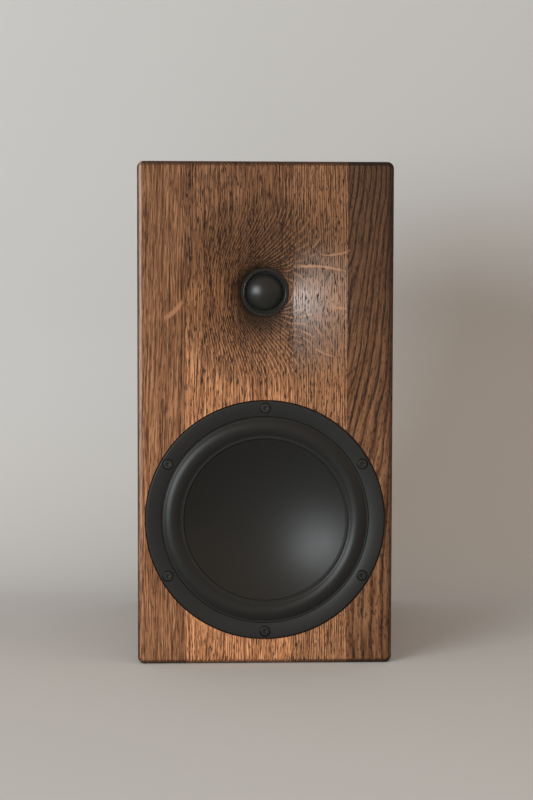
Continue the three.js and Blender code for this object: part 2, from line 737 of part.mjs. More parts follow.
function coilWinding() {
  return ring(
    COIL_RADIUS + COIL_WALL + GAP,
    COIL_OUTER,
    COIL_MIDDLE_Y - COIL_WINDING_LENGTH / 2,
    COIL_MIDDLE_Y + COIL_WINDING_LENGTH / 2,
    HIDDEN_ROUND,
  );
}

// A corrugated cloth disc that centres the coil.
function wooferSpider() {
  const inner = COIL_RADIUS + COIL_WALL + GAP;
  const outer = SPIDER_SEAT_RADIUS - GAP;
  const waves = 3;
  const stepsPerWave = 4;
  const count = waves * stepsPerWave;
  const middleY = SPIDER_DEPTH - GAP - SPIDER_THICKNESS - SPIDER_WAVE;
  const wave = (shift) =>
    Array.from({ length: count + 1 }, (_, i) => {
      const radius = inner + ((outer - SPIDER_SEAT_WIDTH - inner) * i) / count;
      const swing = Math.sin((i * Math.PI * 2) / stepsPerWave) * SPIDER_WAVE;
      return [radius, middleY + swing + shift];
    });
  const seatY = SPIDER_DEPTH - GAP;
  return revolve(
    [
      ...wave(0),
      [outer, seatY - SPIDER_THICKNESS],
      [outer, seatY],
      [outer - SPIDER_SEAT_WIDTH, seatY],
      ...wave(SPIDER_THICKNESS).reverse(),
    ],
    HIDDEN_ROUND,
  );
}

function topPlate() {
  return ring(
    COIL_OUTER + MAGNET_GAP,
    TOP_PLATE_RADIUS,
    TOP_PLATE_Y,
    TOP_PLATE_Y + TOP_PLATE_THICKNESS,
    HIDDEN_ROUND,
  );
}

function ringMagnet() {
  return ring(
    COIL_OUTER + MAGNET_BORE_MARGIN,
    MAGNET_RADIUS,
    MAGNET_Y,
    MAGNET_Y + MAGNET_THICKNESS,
    MEDIUM_ROUND,
  );
}

function backPlate() {
  const pole = COIL_RADIUS - MAGNET_GAP;
  const profile = [
    [POLE_VENT_RADIUS, TOP_PLATE_Y],
    [pole, TOP_PLATE_Y],
    [pole, BACK_PLATE_Y],
    [TOP_PLATE_RADIUS, BACK_PLATE_Y],
    [TOP_PLATE_RADIUS, BACK_PLATE_Y + BACK_PLATE_THICKNESS],
    [POLE_VENT_RADIUS, BACK_PLATE_Y + BACK_PLATE_THICKNESS],
  ];
  return revolve(profile, HIDDEN_ROUND);
}

// A small board with the woofer's solder tags, on the back of the basket's plate.
const TAG_STRIP_Y = BASKET_DEPTH + GAP;
const TAG_STRIP_TOP = -(TOP_PLATE_RADIUS + GAP);
const TAG_STRIP_LOW = TAG_STRIP_TOP - TAG_HEIGHT;

function tagStrip() {
  return block(
    [-TAG_WIDTH / 2, TAG_STRIP_Y, TAG_STRIP_LOW],
    [TAG_WIDTH / 2, TAG_STRIP_Y + TAG_THICKNESS, TAG_STRIP_TOP],
  );
}

// ---- Tweeter: y counts back from the baffle's front ---------------------------------------------

const NOSE_RADIUS = HORN_THROAT_RADIUS - GAP;
const NOSE_FRONT_Y = HORN_DEPTH + GAP;
const NOSE_EDGE = 0.6;
const DOME_SEAT_Y = NOSE_FRONT_Y + DOME_SEAT_SETBACK;
const NOSE_OPENING = NOSE_RADIUS - TWEETER_WALL;
const ROLL_OUTER = DOME_RADIUS + GAP + DOME_ROLL_WIDTH;
const TWEETER_FLANGE_Y = POCKET_DEPTH + GAP;
const TWEETER_FLANGE_BACK_Y = TWEETER_FLANGE_Y + TWEETER_FLANGE_THICKNESS;
const TWEETER_PLATE_Y = TWEETER_FLANGE_BACK_Y + GAP;
const TWEETER_MAGNET_Y = TWEETER_PLATE_Y + TWEETER_PLATE_THICKNESS + GAP;
const TWEETER_YOKE_Y = TWEETER_MAGNET_Y + TWEETER_MAGNET_THICKNESS + GAP;
const TWEETER_COIL_OUTER = DOME_RADIUS - GAP;
const TWEETER_COIL_INNER = TWEETER_COIL_OUTER - TWEETER_COIL_THICKNESS;

// The black ring in the throat, the nose behind it, and the flange in the baffle's back.
function tweeterHousing() {
  const ledge = ROLL_OUTER - DOME_ROLL_WIDTH / 2;
  const body = revolve(
    [
      [NOSE_RADIUS - NOSE_EDGE, NOSE_FRONT_Y],
      [NOSE_RADIUS, NOSE_FRONT_Y + NOSE_EDGE],
      [NOSE_RADIUS, TWEETER_FLANGE_Y],
      [TWEETER_FLANGE_RADIUS, TWEETER_FLANGE_Y],
      [TWEETER_FLANGE_RADIUS, TWEETER_FLANGE_BACK_Y],
      [ledge, TWEETER_FLANGE_BACK_Y],
      [ledge, DOME_SEAT_Y + GAP],
      [ROLL_OUTER + GAP, DOME_SEAT_Y + GAP],
      [NOSE_OPENING, NOSE_FRONT_Y + NOSE_EDGE],
      [NOSE_OPENING + NOSE_EDGE, NOSE_FRONT_Y],
    ],
    MEDIUM_ROUND,
  );
  const hole = disc(
    TWEETER_SCREW_RADIUS + GAP,
    TWEETER_FLANGE_Y - OVERCUT,
    TWEETER_FLANGE_BACK_Y + OVERCUT,
    SMALL_ROUND,
  ).translate([0, 0, TWEETER_SCREW_CIRCLE]);
  return body.subtract(joinAll(aroundY(hole, TWEETER_SCREW_COUNT)));
}

function tweeterDome() {
  const outside = cap(DOME_RADIUS, DOME_SEAT_Y, DOME_RISE, 5);
  const inside = cap(DOME_RADIUS - DOME_THICKNESS, DOME_SEAT_Y, DOME_RISE - DOME_THICKNESS, 4);
  return revolve([...outside, ...inside.reverse()], MEDIUM_ROUND);
}

function tweeterSurround() {
  const half = DOME_ROLL_WIDTH / 2;
  const middle = ROLL_OUTER - half;
  const front = arc(middle, DOME_SEAT_Y, half, -Math.PI / 2, Math.PI / 2, 4);
  const back = arc(middle, DOME_SEAT_Y, half - DOME_THICKNESS, -Math.PI / 2, Math.PI / 2, 4);
  return revolve([...front, ...back.reverse()], MEDIUM_ROUND);
}

// The tweeter's coil hangs from the dome's rim into the gap of the front plate.
function tweeterCoil() {
  const backY = TWEETER_MAGNET_Y + TWEETER_COIL_OVERHANG;
  return ring(TWEETER_COIL_INNER, TWEETER_COIL_OUTER, DOME_SEAT_Y + GAP, backY, HIDDEN_ROUND);
}

function tweeterFrontPlate() {
  const backY = TWEETER_PLATE_Y + TWEETER_PLATE_THICKNESS;
  const bore = TWEETER_COIL_OUTER + TWEETER_GAP;
  return ring(bore, TWEETER_PLATE_RADIUS, TWEETER_PLATE_Y, backY, HIDDEN_ROUND);
}

function tweeterMagnet() {
  const backY = TWEETER_MAGNET_Y + TWEETER_MAGNET_THICKNESS;
  const bore = TWEETER_COIL_OUTER + TWEETER_MAGNET_BORE_MARGIN;
  return ring(bore, TWEETER_MAGNET_RADIUS, TWEETER_MAGNET_Y, backY, HIDDEN_ROUND);
}

function tweeterYoke() {
  const pole = TWEETER_COIL_INNER - TWEETER_GAP;
  const profile = [
    [0, TWEETER_PLATE_Y],
    [pole, TWEETER_PLATE_Y],
    [pole, TWEETER_YOKE_Y],
    [TWEETER_PLATE_RADIUS, TWEETER_YOKE_Y],
    [TWEETER_PLATE_RADIUS, TWEETER_YOKE_Y + TWEETER_YOKE_THICKNESS],
    [0, TWEETER_YOKE_Y + TWEETER_YOKE_THICKNESS],
  ];
  return revolve(profile, HIDDEN_ROUND);
}

// ---- Bass port: y counts back from the rear panel's back ----------------------------------------

function bassPort() {
  const wall = PORT_BORE_RADIUS + PORT_WALL;
  const mouth = PORT_BORE_RADIUS + PORT_FLARE_RADIUS;
  const flare = arc(mouth, -PORT_FLARE_RADIUS, -PORT_FLARE_RADIUS, Math.PI / 2, 0, 5);
  return revolve(
    [
      [PORT_BORE_RADIUS, -PORT_LENGTH],
      ...flare,
      [mouth + PORT_LIP, 0],
      [mouth + PORT_LIP, -PORT_LIP_THICKNESS],
      [wall, -PORT_FLARE_RADIUS - PORT_WALL],
      [wall, -PORT_LENGTH],
    ],
    MEDIUM_ROUND,
  );
}

// ---- Terminal cup and posts: y counts back from the rear panel's back ---------------------------

const CUP_FLANGE_BACK_Y = GAP + CUP_FLANGE_THICKNESS;
const POST_PLACES = { red: POST_SPACING / 2, black: -POST_SPACING / 2 };
const POST_HOLE_RADIUS = POST_SHAFT_RADIUS + GAP;
const POST_WASHER_Y = GAP + POST_COLLAR_HEIGHT + GAP;
const POST_KNOB_Y = POST_WASHER_Y + POST_WASHER_THICKNESS + GAP;
const POST_TAIL_Y = -(CUP_FLOOR + POST_TAIL);

function terminalCup() {
  const flange = extrude(
    uprightRectangle(
      CUP_OUTER_WIDTH + 2 * CUP_FLANGE_WIDTH,
      CUP_OUTER_HEIGHT + 2 * CUP_FLANGE_WIDTH,
      CUP_CORNER_RADIUS,
    ),
    GAP,
    CUP_FLANGE_BACK_Y,
  );
  const shell = extrude(
    uprightRectangle(CUP_OUTER_WIDTH, CUP_OUTER_HEIGHT, CUP_CORNER_RADIUS + CUP_WALL),
    -CUP_DEPTH - CUP_FLOOR,
    CUP_FLANGE_BACK_Y,
  );
  const hollow = extrude(
    uprightRectangle(CUP_WIDTH, CUP_HEIGHT, CUP_CORNER_RADIUS),
    -CUP_DEPTH,
    CUP_FLANGE_BACK_Y + OVERCUT,
  );
  const postHoles = Object.values(POST_PLACES).map((x) =>
    disc(POST_HOLE_RADIUS, -CUP_DEPTH - CUP_FLOOR - OVERCUT, 0, SMALL_ROUND).translate([x, 0, 0]),
  );
  const screwHoles = CUP_SCREW_PLACES.map(([x, z]) =>
    disc(CUP_SCREW_SHANK_RADIUS + GAP, -OVERCUT, OVERCUT, SMALL_ROUND).translate([x, 0, z]),
  );
  return flange.add(shell).subtract(joinAll([hollow, ...postHoles, ...screwHoles]));
}

// The pieces of a post stand on the cup's floor, which is y = 0 for them.
function postShaft() {
  const tipY = POST_KNOB_Y + POST_KNOB_LENGTH - POST_TIP_RECESS;
  const wireHole = disc(POST_WIRE_HOLE_RADIUS, -OVERCUT, OVERCUT, SMALL_ROUND)
    .rotate([0, 0, 90])
    .translate([0, POST_WASHER_Y + POST_WIRE_HOLE_RADIUS, 0]);
  return revolve(
    [
      [0, POST_TAIL_Y],
      [POST_SHAFT_RADIUS, POST_TAIL_Y],
      [POST_SHAFT_RADIUS, tipY],
      [POST_BORE_RADIUS, tipY],
      [POST_BORE_RADIUS, tipY - POST_BORE_LENGTH],
      [0, tipY - POST_BORE_LENGTH],
    ],
    SMALL_ROUND,
  ).subtract(wireHole);
}

function postCollar() {
  const topY = GAP + POST_COLLAR_HEIGHT;
  return ring(POST_HOLE_RADIUS, POST_COLLAR_RADIUS, GAP, topY, HIDDEN_ROUND);
}

function postWasher() {
  const topY = POST_WASHER_Y + POST_WASHER_THICKNESS;
  return ring(POST_HOLE_RADIUS, POST_WASHER_RADIUS, POST_WASHER_Y, topY, HIDDEN_ROUND);
}

function postKnob() {
  const topY = POST_KNOB_Y + POST_KNOB_LENGTH;
  const body = revolve(
    [
      [POST_HOLE_RADIUS, POST_KNOB_Y],
      [POST_KNOB_RADIUS, POST_KNOB_Y],
      [POST_KNOB_RADIUS, topY - POST_KNOB_CHAMFER],
      [POST_KNOB_RADIUS - POST_KNOB_CHAMFER, topY],
      [POST_HOLE_RADIUS, topY],
    ],
    2 * POST_FLUTE_COUNT,
  );
  const flute = disc(POST_FLUTE_RADIUS, POST_KNOB_Y - OVERCUT, topY + OVERCUT, 6)
    .translate([0, 0, POST_KNOB_RADIUS]);
  return body.subtract(joinAll(aroundY(flute, POST_FLUTE_COUNT)));
}

function postNut() {
  const backY = -CUP_FLOOR - GAP;
  const bore = disc(POST_HOLE_RADIUS, POST_TAIL_Y - OVERCUT, 0, SMALL_ROUND);
  return disc(POST_NUT_RADIUS, backY - POST_NUT_THICKNESS, backY, 6).subtract(bore);
}

// ---- Crossover: on the bottom panel; x from its middle, y from its front edge, z from its base ---

const FIRST_ROW_DEPTH = Math.max(2 * CHOKE_RADIUS, CAPACITOR_LENGTH);
const SECOND_ROW_DEPTH = Math.max(2 * SMALL_CHOKE_RADIUS, RESISTOR_SIDE);
const FIRST_ROW_WIDTH = 2 * CHOKE_RADIUS + PART_SPACING + 2 * CAPACITOR_RADIUS;
const SECOND_ROW_WIDTH = 2 * SMALL_CHOKE_RADIUS + PART_SPACING + RESISTOR_LENGTH;
const CROSSOVER_WIDTH = Math.max(FIRST_ROW_WIDTH, SECOND_ROW_WIDTH) + 2 * PART_SPACING;
const CROSSOVER_LENGTH = FIRST_ROW_DEPTH + SECOND_ROW_DEPTH + 3 * PART_SPACING;
const CROSSOVER_FRONT_Y = REAR_PANEL_FRONT_Y - CROSSOVER_REAR_SPACE - CROSSOVER_LENGTH;
const PARTS_LEFT_X = -CROSSOVER_WIDTH / 2 + PART_SPACING;
const FIRST_ROW_Y = PART_SPACING + FIRST_ROW_DEPTH / 2;
const SECOND_ROW_Y = 2 * PART_SPACING + FIRST_ROW_DEPTH + SECOND_ROW_DEPTH / 2;
const PARTS_BASE_Z = CROSSOVER_BOARD_THICKNESS + GAP;

function crossoverBoard() {
  const half = CROSSOVER_WIDTH / 2;
  return block([-half, 0, 0], [half, CROSSOVER_LENGTH, CROSSOVER_BOARD_THICKNESS]);
}

// A coil of wire lying flat on the board.
function choke(boreRadius, radius, height) {
  return ring(boreRadius, radius, 0, height, HIDDEN_ROUND).rotate([90, 0, 0]);
}

function wooferChoke() {
  const place = [PARTS_LEFT_X + CHOKE_RADIUS, FIRST_ROW_Y, PARTS_BASE_Z];
  return choke(CHOKE_BORE_RADIUS, CHOKE_RADIUS, CHOKE_HEIGHT).translate(place);
}

function tweeterChoke() {
  const place = [PARTS_LEFT_X + SMALL_CHOKE_RADIUS, SECOND_ROW_Y, PARTS_BASE_Z];
  return choke(SMALL_CHOKE_BORE_RADIUS, SMALL_CHOKE_RADIUS, SMALL_CHOKE_HEIGHT).translate(place);
}

function capacitor() {
  const x = PARTS_LEFT_X + 2 * CHOKE_RADIUS + PART_SPACING + CAPACITOR_RADIUS;
  const can = disc(CAPACITOR_RADIUS, -CAPACITOR_LENGTH / 2, CAPACITOR_LENGTH / 2, HIDDEN_ROUND);
  return can.translate([x, FIRST_ROW_Y, PARTS_BASE_Z + CAPACITOR_RADIUS]);
}

function resistor() {
  const x = PARTS_LEFT_X + 2 * SMALL_CHOKE_RADIUS + PART_SPACING;
  const y = SECOND_ROW_Y - RESISTOR_SIDE / 2;
  return block(
    [x, y, PARTS_BASE_Z],
    [x + RESISTOR_LENGTH, y + RESISTOR_SIDE, PARTS_BASE_Z + RESISTOR_SIDE],
  );
}

// ---- Internal leads -----------------------------------------------------------------------------

// Two cores that run side by side as one cable and may spread apart where it starts.
function twinLead(points, startSpread) {
  const together = LEAD_RADIUS * LEAD_CORE_SHARE;
  const core = (side) =>
    lead(points.map(([x, y, z], i) => [x + side * (i < 2 ? startSpread / 2 : together), y, z]));
  return core(1).add(core(-1));
}

const CROSSOVER_TOP_Z = PANEL_THICKNESS + GAP + CROSSOVER_BOARD_THICKNESS;
const LEAD_DROP = 12;

// The last points of a route that comes down on a place on the board.
function landing(x, y) {
  return [
    [x, y, CROSSOVER_TOP_Z + LEAD_DROP],
    [x, y, CROSSOVER_TOP_Z + 2 * GAP],
  ];
}

function inputLead() {
  const tailY = REAR_PANEL_BACK_Y - CUP_DEPTH + POST_TAIL_Y - 2 * GAP;
  const landY = CROSSOVER_FRONT_Y + CROSSOVER_LENGTH - PART_SPACING / 2;
  const route = [
    [0, tailY, TERMINAL_HEIGHT],
    [0, tailY - LEAD_DROP / 2, TERMINAL_HEIGHT],
    [0, (tailY + landY) / 2, (TERMINAL_HEIGHT + CROSSOVER_TOP_Z) / 2 + LEAD_DROP],
    ...landing(0, landY),
  ];
  return twinLead(route, POST_SPACING);
}

function wooferLead() {
  const startY = FRONT_Y + TAG_STRIP_Y + TAG_THICKNESS / 2;
  const startZ = WOOFER_HEIGHT + TAG_STRIP_LOW - 2 * GAP;
  const landY = CROSSOVER_FRONT_Y + PART_SPACING / 2;
  const route = [
    [0, startY, startZ],
    [0, startY, startZ - LEAD_DROP / 2],
    [0, (startY + landY) / 2, startZ - LEAD_DROP],
    ...landing(0, landY),
  ];
  return twinLead(route, TAG_WIDTH / 2);
}

function tweeterLead() {
  const startY = FRONT_Y + TWEETER_FLANGE_BACK_Y + 2 * GAP;
  const startZ = TWEETER_HEIGHT - TWEETER_SCREW_CIRCLE;
  const behindY = FRONT_Y + BACK_PLATE_Y + BACK_PLATE_THICKNESS + LEAD_DROP;
  const landX = CROSSOVER_WIDTH / 4;
  const landY = CROSSOVER_FRONT_Y + PART_SPACING / 2;
  const route = [
    [0, startY, startZ],
    [0, startY + LEAD_DROP, startZ],
    [0, behindY, BRACE_HIGH_Z],
    [landX / 2, behindY, WOOFER_HEIGHT],
    ...landing(landX, landY),
  ];
  return twinLead(route, 2 * LEAD_RADIUS * LEAD_CORE_SHARE);
}

// ---- Assembly -----------------------------------------------------------------------------------

// A named mesh made from a solid, set down where it belongs.
function node(name, solid, material, x = 0, y = 0, z = 0) {
  const mesh = new THREE.Mesh(geometryOf(solid), material.clone());
  mesh.name = name;
  mesh.position.set(x, y, z);
  return mesh;
}

function groupAt(y, z, meshes) {
  const group = new THREE.Group();
  group.position.set(0, y, z);
  group.add(...meshes);
  return group;
}

// Screws in a circle round the Y axis, numbered clockwise from the top as seen from the front.
function screwCircle(name, count, radius, y, screw, material) {
  return Array.from({ length: count }, (_, i) => {
    const angle = (i * 2 * Math.PI) / count;
    const x = radius * Math.sin(angle);
    const z = radius * Math.cos(angle);
    return node(`${name}_${i + 1}`, screw, material, x, y, z);
  });
}

function cabinet() {
  return groupAt(0, 0, [
    node("front_baffle", frontBaffle(), oak),
    node("left_side_panel", sidePanel(-1), oak),
    node("right_side_panel", sidePanel(1), oak),
    node("top_panel", endPanel(CABINET_HEIGHT, -1), oak),
    node("bottom_panel", endPanel(0, 1), oak),
    node("rear_panel", rearPanel(), oak),
    node("window_brace", shelfBrace(), oakInside),
    node("damping_felt", dampingFelt(), felt),
  ]);
}

function woofer() {
  const screw = socketScrew(
    SCREW_HEAD_RADIUS,
    SCREW_HEAD_HEIGHT,
    SCREW_SHANK_RADIUS,
    SCREW_LENGTH,
  );
  return groupAt(FRONT_Y, WOOFER_HEIGHT, [
    node("woofer_basket", wooferBasket(), blackCast),
    node("woofer_gasket", wooferGasket(), greyFoam),
    node("woofer_surround", wooferSurround(), rubber),
    node("woofer_cone", wooferCone(), coneBlack),
    node("voice_coil_former", coilFormer(), aluminium),
    node("voice_coil_winding", coilWinding(), copper),
    node("woofer_spider", wooferSpider(), clothYellow),
    node("woofer_top_plate", topPlate(), steel),
    node("woofer_magnet", ringMagnet(), ferrite),
    node("woofer_back_plate", backPlate(), steel),
    node("woofer_tag_strip", tagStrip(), blackPlastic),
    ...screwCircle(
      "woofer_screw",
      SCREW_COUNT,
      SCREW_CIRCLE_RADIUS,
      SCREW_TOP_Y,
      screw,
      blackSteel,
    ),
  ]);
}

function tweeter() {
  const screw = socketScrew(
    TWEETER_SCREW_HEAD_RADIUS,
    TWEETER_SCREW_HEAD_HEIGHT,
    TWEETER_SCREW_RADIUS,
    TWEETER_SCREW_LENGTH,
  ).rotate([0, 0, 180]);
  return groupAt(FRONT_Y, TWEETER_HEIGHT, [
    node("tweeter_housing", tweeterHousing(), blackCast),
    node("tweeter_dome", tweeterDome(), domeFabric),
    node("tweeter_surround", tweeterSurround(), rubber),
    node("tweeter_voice_coil", tweeterCoil(), copper),
    node("tweeter_front_plate", tweeterFrontPlate(), steel),
    node("tweeter_magnet", tweeterMagnet(), ferrite),
    node("tweeter_yoke", tweeterYoke(), steel),
    ...screwCircle(
      "tweeter_screw",
      TWEETER_SCREW_COUNT,
      TWEETER_SCREW_CIRCLE,
      TWEETER_FLANGE_BACK_Y + GAP + TWEETER_SCREW_HEAD_HEIGHT,
      screw,
      steel,
    ),
  ]);
}

function terminalScrews() {
  const screw = socketScrew(
    CUP_SCREW_HEAD_RADIUS,
    CUP_SCREW_HEAD_HEIGHT,
    CUP_SCREW_SHANK_RADIUS,
    CUP_SCREW_LENGTH,
  ).rotate([0, 0, 180]);
  const y = CUP_FLANGE_BACK_Y + GAP + CUP_SCREW_HEAD_HEIGHT;
  return CUP_SCREW_PLACES.map(([x, z], i) =>
    node(`terminal_screw_${i + 1}`, screw, blackSteel, x, y, z),
  );
}

function bindingPost(name, x, plastic) {
  const y = -CUP_DEPTH;
  return [
    node(`${name}_post_shaft`, postShaft(), gold, x, y),
    node(`${name}_post_collar`, postCollar(), plastic, x, y),
    node(`${name}_post_washer`, postWasher(), gold, x, y),
    node(`${name}_post_knob`, postKnob(), plastic, x, y),
    node(`${name}_post_nut`, postNut(), steel, x, y),
  ];
}

function terminals() {
  return groupAt(REAR_PANEL_BACK_Y, TERMINAL_HEIGHT, [
    node("terminal_cup", terminalCup(), blackPlastic),
    ...terminalScrews(),
    ...bindingPost("red", POST_PLACES.red, redPlastic),
    ...bindingPost("black", POST_PLACES.black, blackPlastic),
  ]);
}

function crossover() {
  return groupAt(CROSSOVER_FRONT_Y, PANEL_THICKNESS + GAP, [
    node("crossover_board", crossoverBoard(), oakInside),
    node("woofer_choke", wooferChoke(), copper),
    node("tweeter_choke", tweeterChoke(), copper),
    node("tweeter_capacitor", capacitor(), capacitorFilm),
    node("tweeter_resistor", resistor(), cement),
  ]);
}

function leads() {
  return groupAt(0, 0, [
    node("input_lead", inputLead(), leadSleeve),
    node("woofer_lead", wooferLead(), leadSleeve),
    node("tweeter_lead", tweeterLead(), leadSleeve),
  ]);
}

const speaker = new THREE.Group();
speaker.add(
  cabinet(),
  woofer(),
  tweeter(),
  groupAt(REAR_PANEL_BACK_Y, PORT_HEIGHT, [node("bass_port", bassPort(), blackPlastic)]),
  terminals(),
  crossover(),
  leads(),
);

export default speaker;
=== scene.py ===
"""The looks of a two-way bookshelf loudspeaker in dark-oiled oak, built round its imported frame."""

import logging
import math
from collections.abc import Callable, Sequence
from dataclasses import dataclass, field
from enum import Enum

import bmesh
import bpy
from mathutils import Matrix, Vector
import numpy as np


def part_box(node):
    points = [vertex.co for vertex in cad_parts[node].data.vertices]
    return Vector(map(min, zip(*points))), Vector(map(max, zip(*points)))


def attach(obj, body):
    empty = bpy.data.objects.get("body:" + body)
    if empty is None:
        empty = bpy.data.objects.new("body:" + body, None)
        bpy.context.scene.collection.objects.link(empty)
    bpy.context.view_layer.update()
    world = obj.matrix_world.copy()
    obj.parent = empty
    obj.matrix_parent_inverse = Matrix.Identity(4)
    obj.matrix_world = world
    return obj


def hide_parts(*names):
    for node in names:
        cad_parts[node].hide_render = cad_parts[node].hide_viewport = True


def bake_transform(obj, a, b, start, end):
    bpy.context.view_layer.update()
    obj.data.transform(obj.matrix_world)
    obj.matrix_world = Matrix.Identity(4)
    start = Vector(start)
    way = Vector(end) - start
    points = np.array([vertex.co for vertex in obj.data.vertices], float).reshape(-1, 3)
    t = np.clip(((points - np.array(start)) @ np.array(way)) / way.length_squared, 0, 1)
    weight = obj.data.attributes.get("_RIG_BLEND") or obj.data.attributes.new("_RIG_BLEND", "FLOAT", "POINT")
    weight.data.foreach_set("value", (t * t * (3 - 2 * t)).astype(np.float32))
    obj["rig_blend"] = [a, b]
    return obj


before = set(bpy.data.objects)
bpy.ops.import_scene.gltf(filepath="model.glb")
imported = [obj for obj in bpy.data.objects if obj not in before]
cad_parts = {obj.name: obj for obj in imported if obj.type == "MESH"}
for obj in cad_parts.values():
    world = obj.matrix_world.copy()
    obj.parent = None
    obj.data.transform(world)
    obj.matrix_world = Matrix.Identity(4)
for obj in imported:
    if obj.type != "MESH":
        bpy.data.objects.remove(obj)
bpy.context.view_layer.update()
MM = 0.001
CABINET_BODY = "cabinet"
END_GRAIN = "end_grain"
log = logging.getLogger("speaker")

Link = bpy.types.NodeSocket
Piece = bpy.types.Object
Point = tuple[float, float]
Colour = tuple[float, float, float, float]


# ---- Small helpers ----


def srgb(red: int, green: int, blue: int) -> Colour:
    """Turns a colour as it is seen on a screen, 0 to 255, into linear light.

    Args:
        red: the red share.
        green: the green share.
        blue: the blue share.

    Returns:
        The linear colour, with an alpha of 1.
    """
    def channel(value: int) -> float:
        """One channel in linear light."""
        share = value / 255
        return share / 12.92 if share <= 0.04045 else ((share + 0.055) / 1.055) ** 2.4

    return (channel(red), channel(green), channel(blue), 1.0)


def low(node: str) -> Vector:
    """The lowest corner of a frame node, in millimetres."""
    return Vector(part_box(node)[0]) / MM


def high(node: str) -> Vector:
    """The highest corner of a frame node, in millimetres."""
    return Vector(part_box(node)[1]) / MM


def middle(node: str) -> Vector:
    """The middle of a frame node, in millimetres."""
    return (low(node) + high(node)) / 2


def front_of(node: str) -> Vector:
    """The middle of a frame node's front, in millimetres."""
    return Vector((middle(node).x, low(node).y, middle(node).z))


def back_of(node: str) -> Vector:
    """The middle of a frame node's back, in millimetres."""
    return Vector((middle(node).x, high(node).y, middle(node).z))


def facing(azimuth: float, elevation: float) -> Vector:
    """Works out a direction from its turn to the left of the front and its height.

    Args:
        azimuth: the turn, in degrees.
        elevation: the height, in degrees.

    Returns:
        The direction, one long.
    """
    turn, height = math.radians(azimuth), math.radians(elevation)
    return Vector((
        -math.sin(turn) * math.cos(height), -math.cos(turn) * math.cos(height), math.sin(height),
    ))


def arc(centre: Point, radius: float, start: float, end: float, steps: int) -> list[Point]:
    """Points on a circular arc in a profile.

    Args:
        centre: the arc's centre, as (radius, y).
        radius: the arc's own radius.
        start: the first angle in degrees, from outwards (+radius) towards the back (+y).
        end: the last angle in degrees.
        steps: how many chords the arc has.

    Returns:
        The points, first to last.
    """
    angles = [math.radians(start + (end - start) * i / steps) for i in range(steps + 1)]
    return [(centre[0] + radius * math.cos(a), centre[1] + radius * math.sin(a)) for a in angles]


def bezier(a: Point, b: Point, c: Point, d: Point, steps: int) -> list[Point]:
    """Points on a cubic curve in a profile.

    Args:
        a: the first point.
        b: the first handle.
        c: the second handle.
        d: the last point.
        steps: how many chords the curve has.

    Returns:
        The points, first to last.
    """
    points = []
    for i in range(steps + 1):
        t = i / steps
        s = 1 - t
        weights = (s * s * s, 3 * s * s * t, 3 * s * t * t, t * t * t)
        points.append(tuple(sum(w * p[k] for w, p in zip(weights, (a, b, c, d))) for k in range(2)))
    return points


def eased(line: Sequence[Point], step: float, rounds: int) -> list[Point]:
    """A line with its corners eased.

    Args:
        line: the line's points.
        step: how far apart the new points are, about.
        rounds: how often each point is drawn towards its neighbours.

    Returns:
        The new points, with the ends kept.
    """
    points = [line[0]]
    for a, b in zip(line, line[1:]):
        count = max(1, round(math.dist(a, b) / step))
        points += [(a[0] + (b[0] - a[0]) * i / count, a[1] + (b[1] - a[1]) * i / count)
                   for i in range(1, count + 1)]
    for _ in range(rounds):
        middles = [((a[0] + 2 * b[0] + c[0]) / 4, (a[1] + 2 * b[1] + c[1]) / 4)
                   for a, b, c in zip(points, points[1:], points[2:])]
        points = [points[0], *middles, points[-1]]
    return points


def cap(rim: float, rim_y: float, rise: float, steps: int) -> list[Point]:
    """Points across a shallow round cap, from its middle to its rim.

    Args:
        rim: the rim's radius.
        rim_y: where the rim is.
        rise: how far the middle stands in front of the rim; negative for a dish.
        steps: how many chords the cap has.

    Returns:
        The points, from the axis outwards.
    """
    radius = (rim * rim + rise * rise) / (2 * abs(rise))
    spread = math.asin(rim / radius)
    side = math.copysign(1, rise)
    centre_y = rim_y + side * (radius - abs(rise))
    angles = [spread * i / steps for i in range(steps + 1)]
    return [(radius * math.sin(a), centre_y - side * radius * math.cos(a)) for a in angles]


def ridge(inner: float, outer: float, base: float, rise: float) -> tuple[Point, float, float]:
    """The circle of a low round ridge between two radii.

    Args:
        inner: the ridge's inner radius.
        outer: its outer radius.
        base: where its feet are.
        rise: how far its crest stands in front of them.

    Returns:
        The circle's centre, its radius, and half the angle that the ridge spans, in degrees.
    """
    half = (outer - inner) / 2
    radius = (half * half + rise * rise) / (2 * rise)
    return ((outer + inner) / 2, base - rise + radius), radius, math.degrees(math.asin(half / radius))


# ---- Mesh making ----


WELD = 1e-4
LEVEL = 1e-3
ON_PLANE = 1e-5
CREASE = 0.5
HOLE_SIDES = 24
SCREW_SIDES = 48
SPARE = 5.0


class Solid(Enum):
    """What is done with a second solid."""

    CUT = "DIFFERENCE"
    JOIN = "UNION"


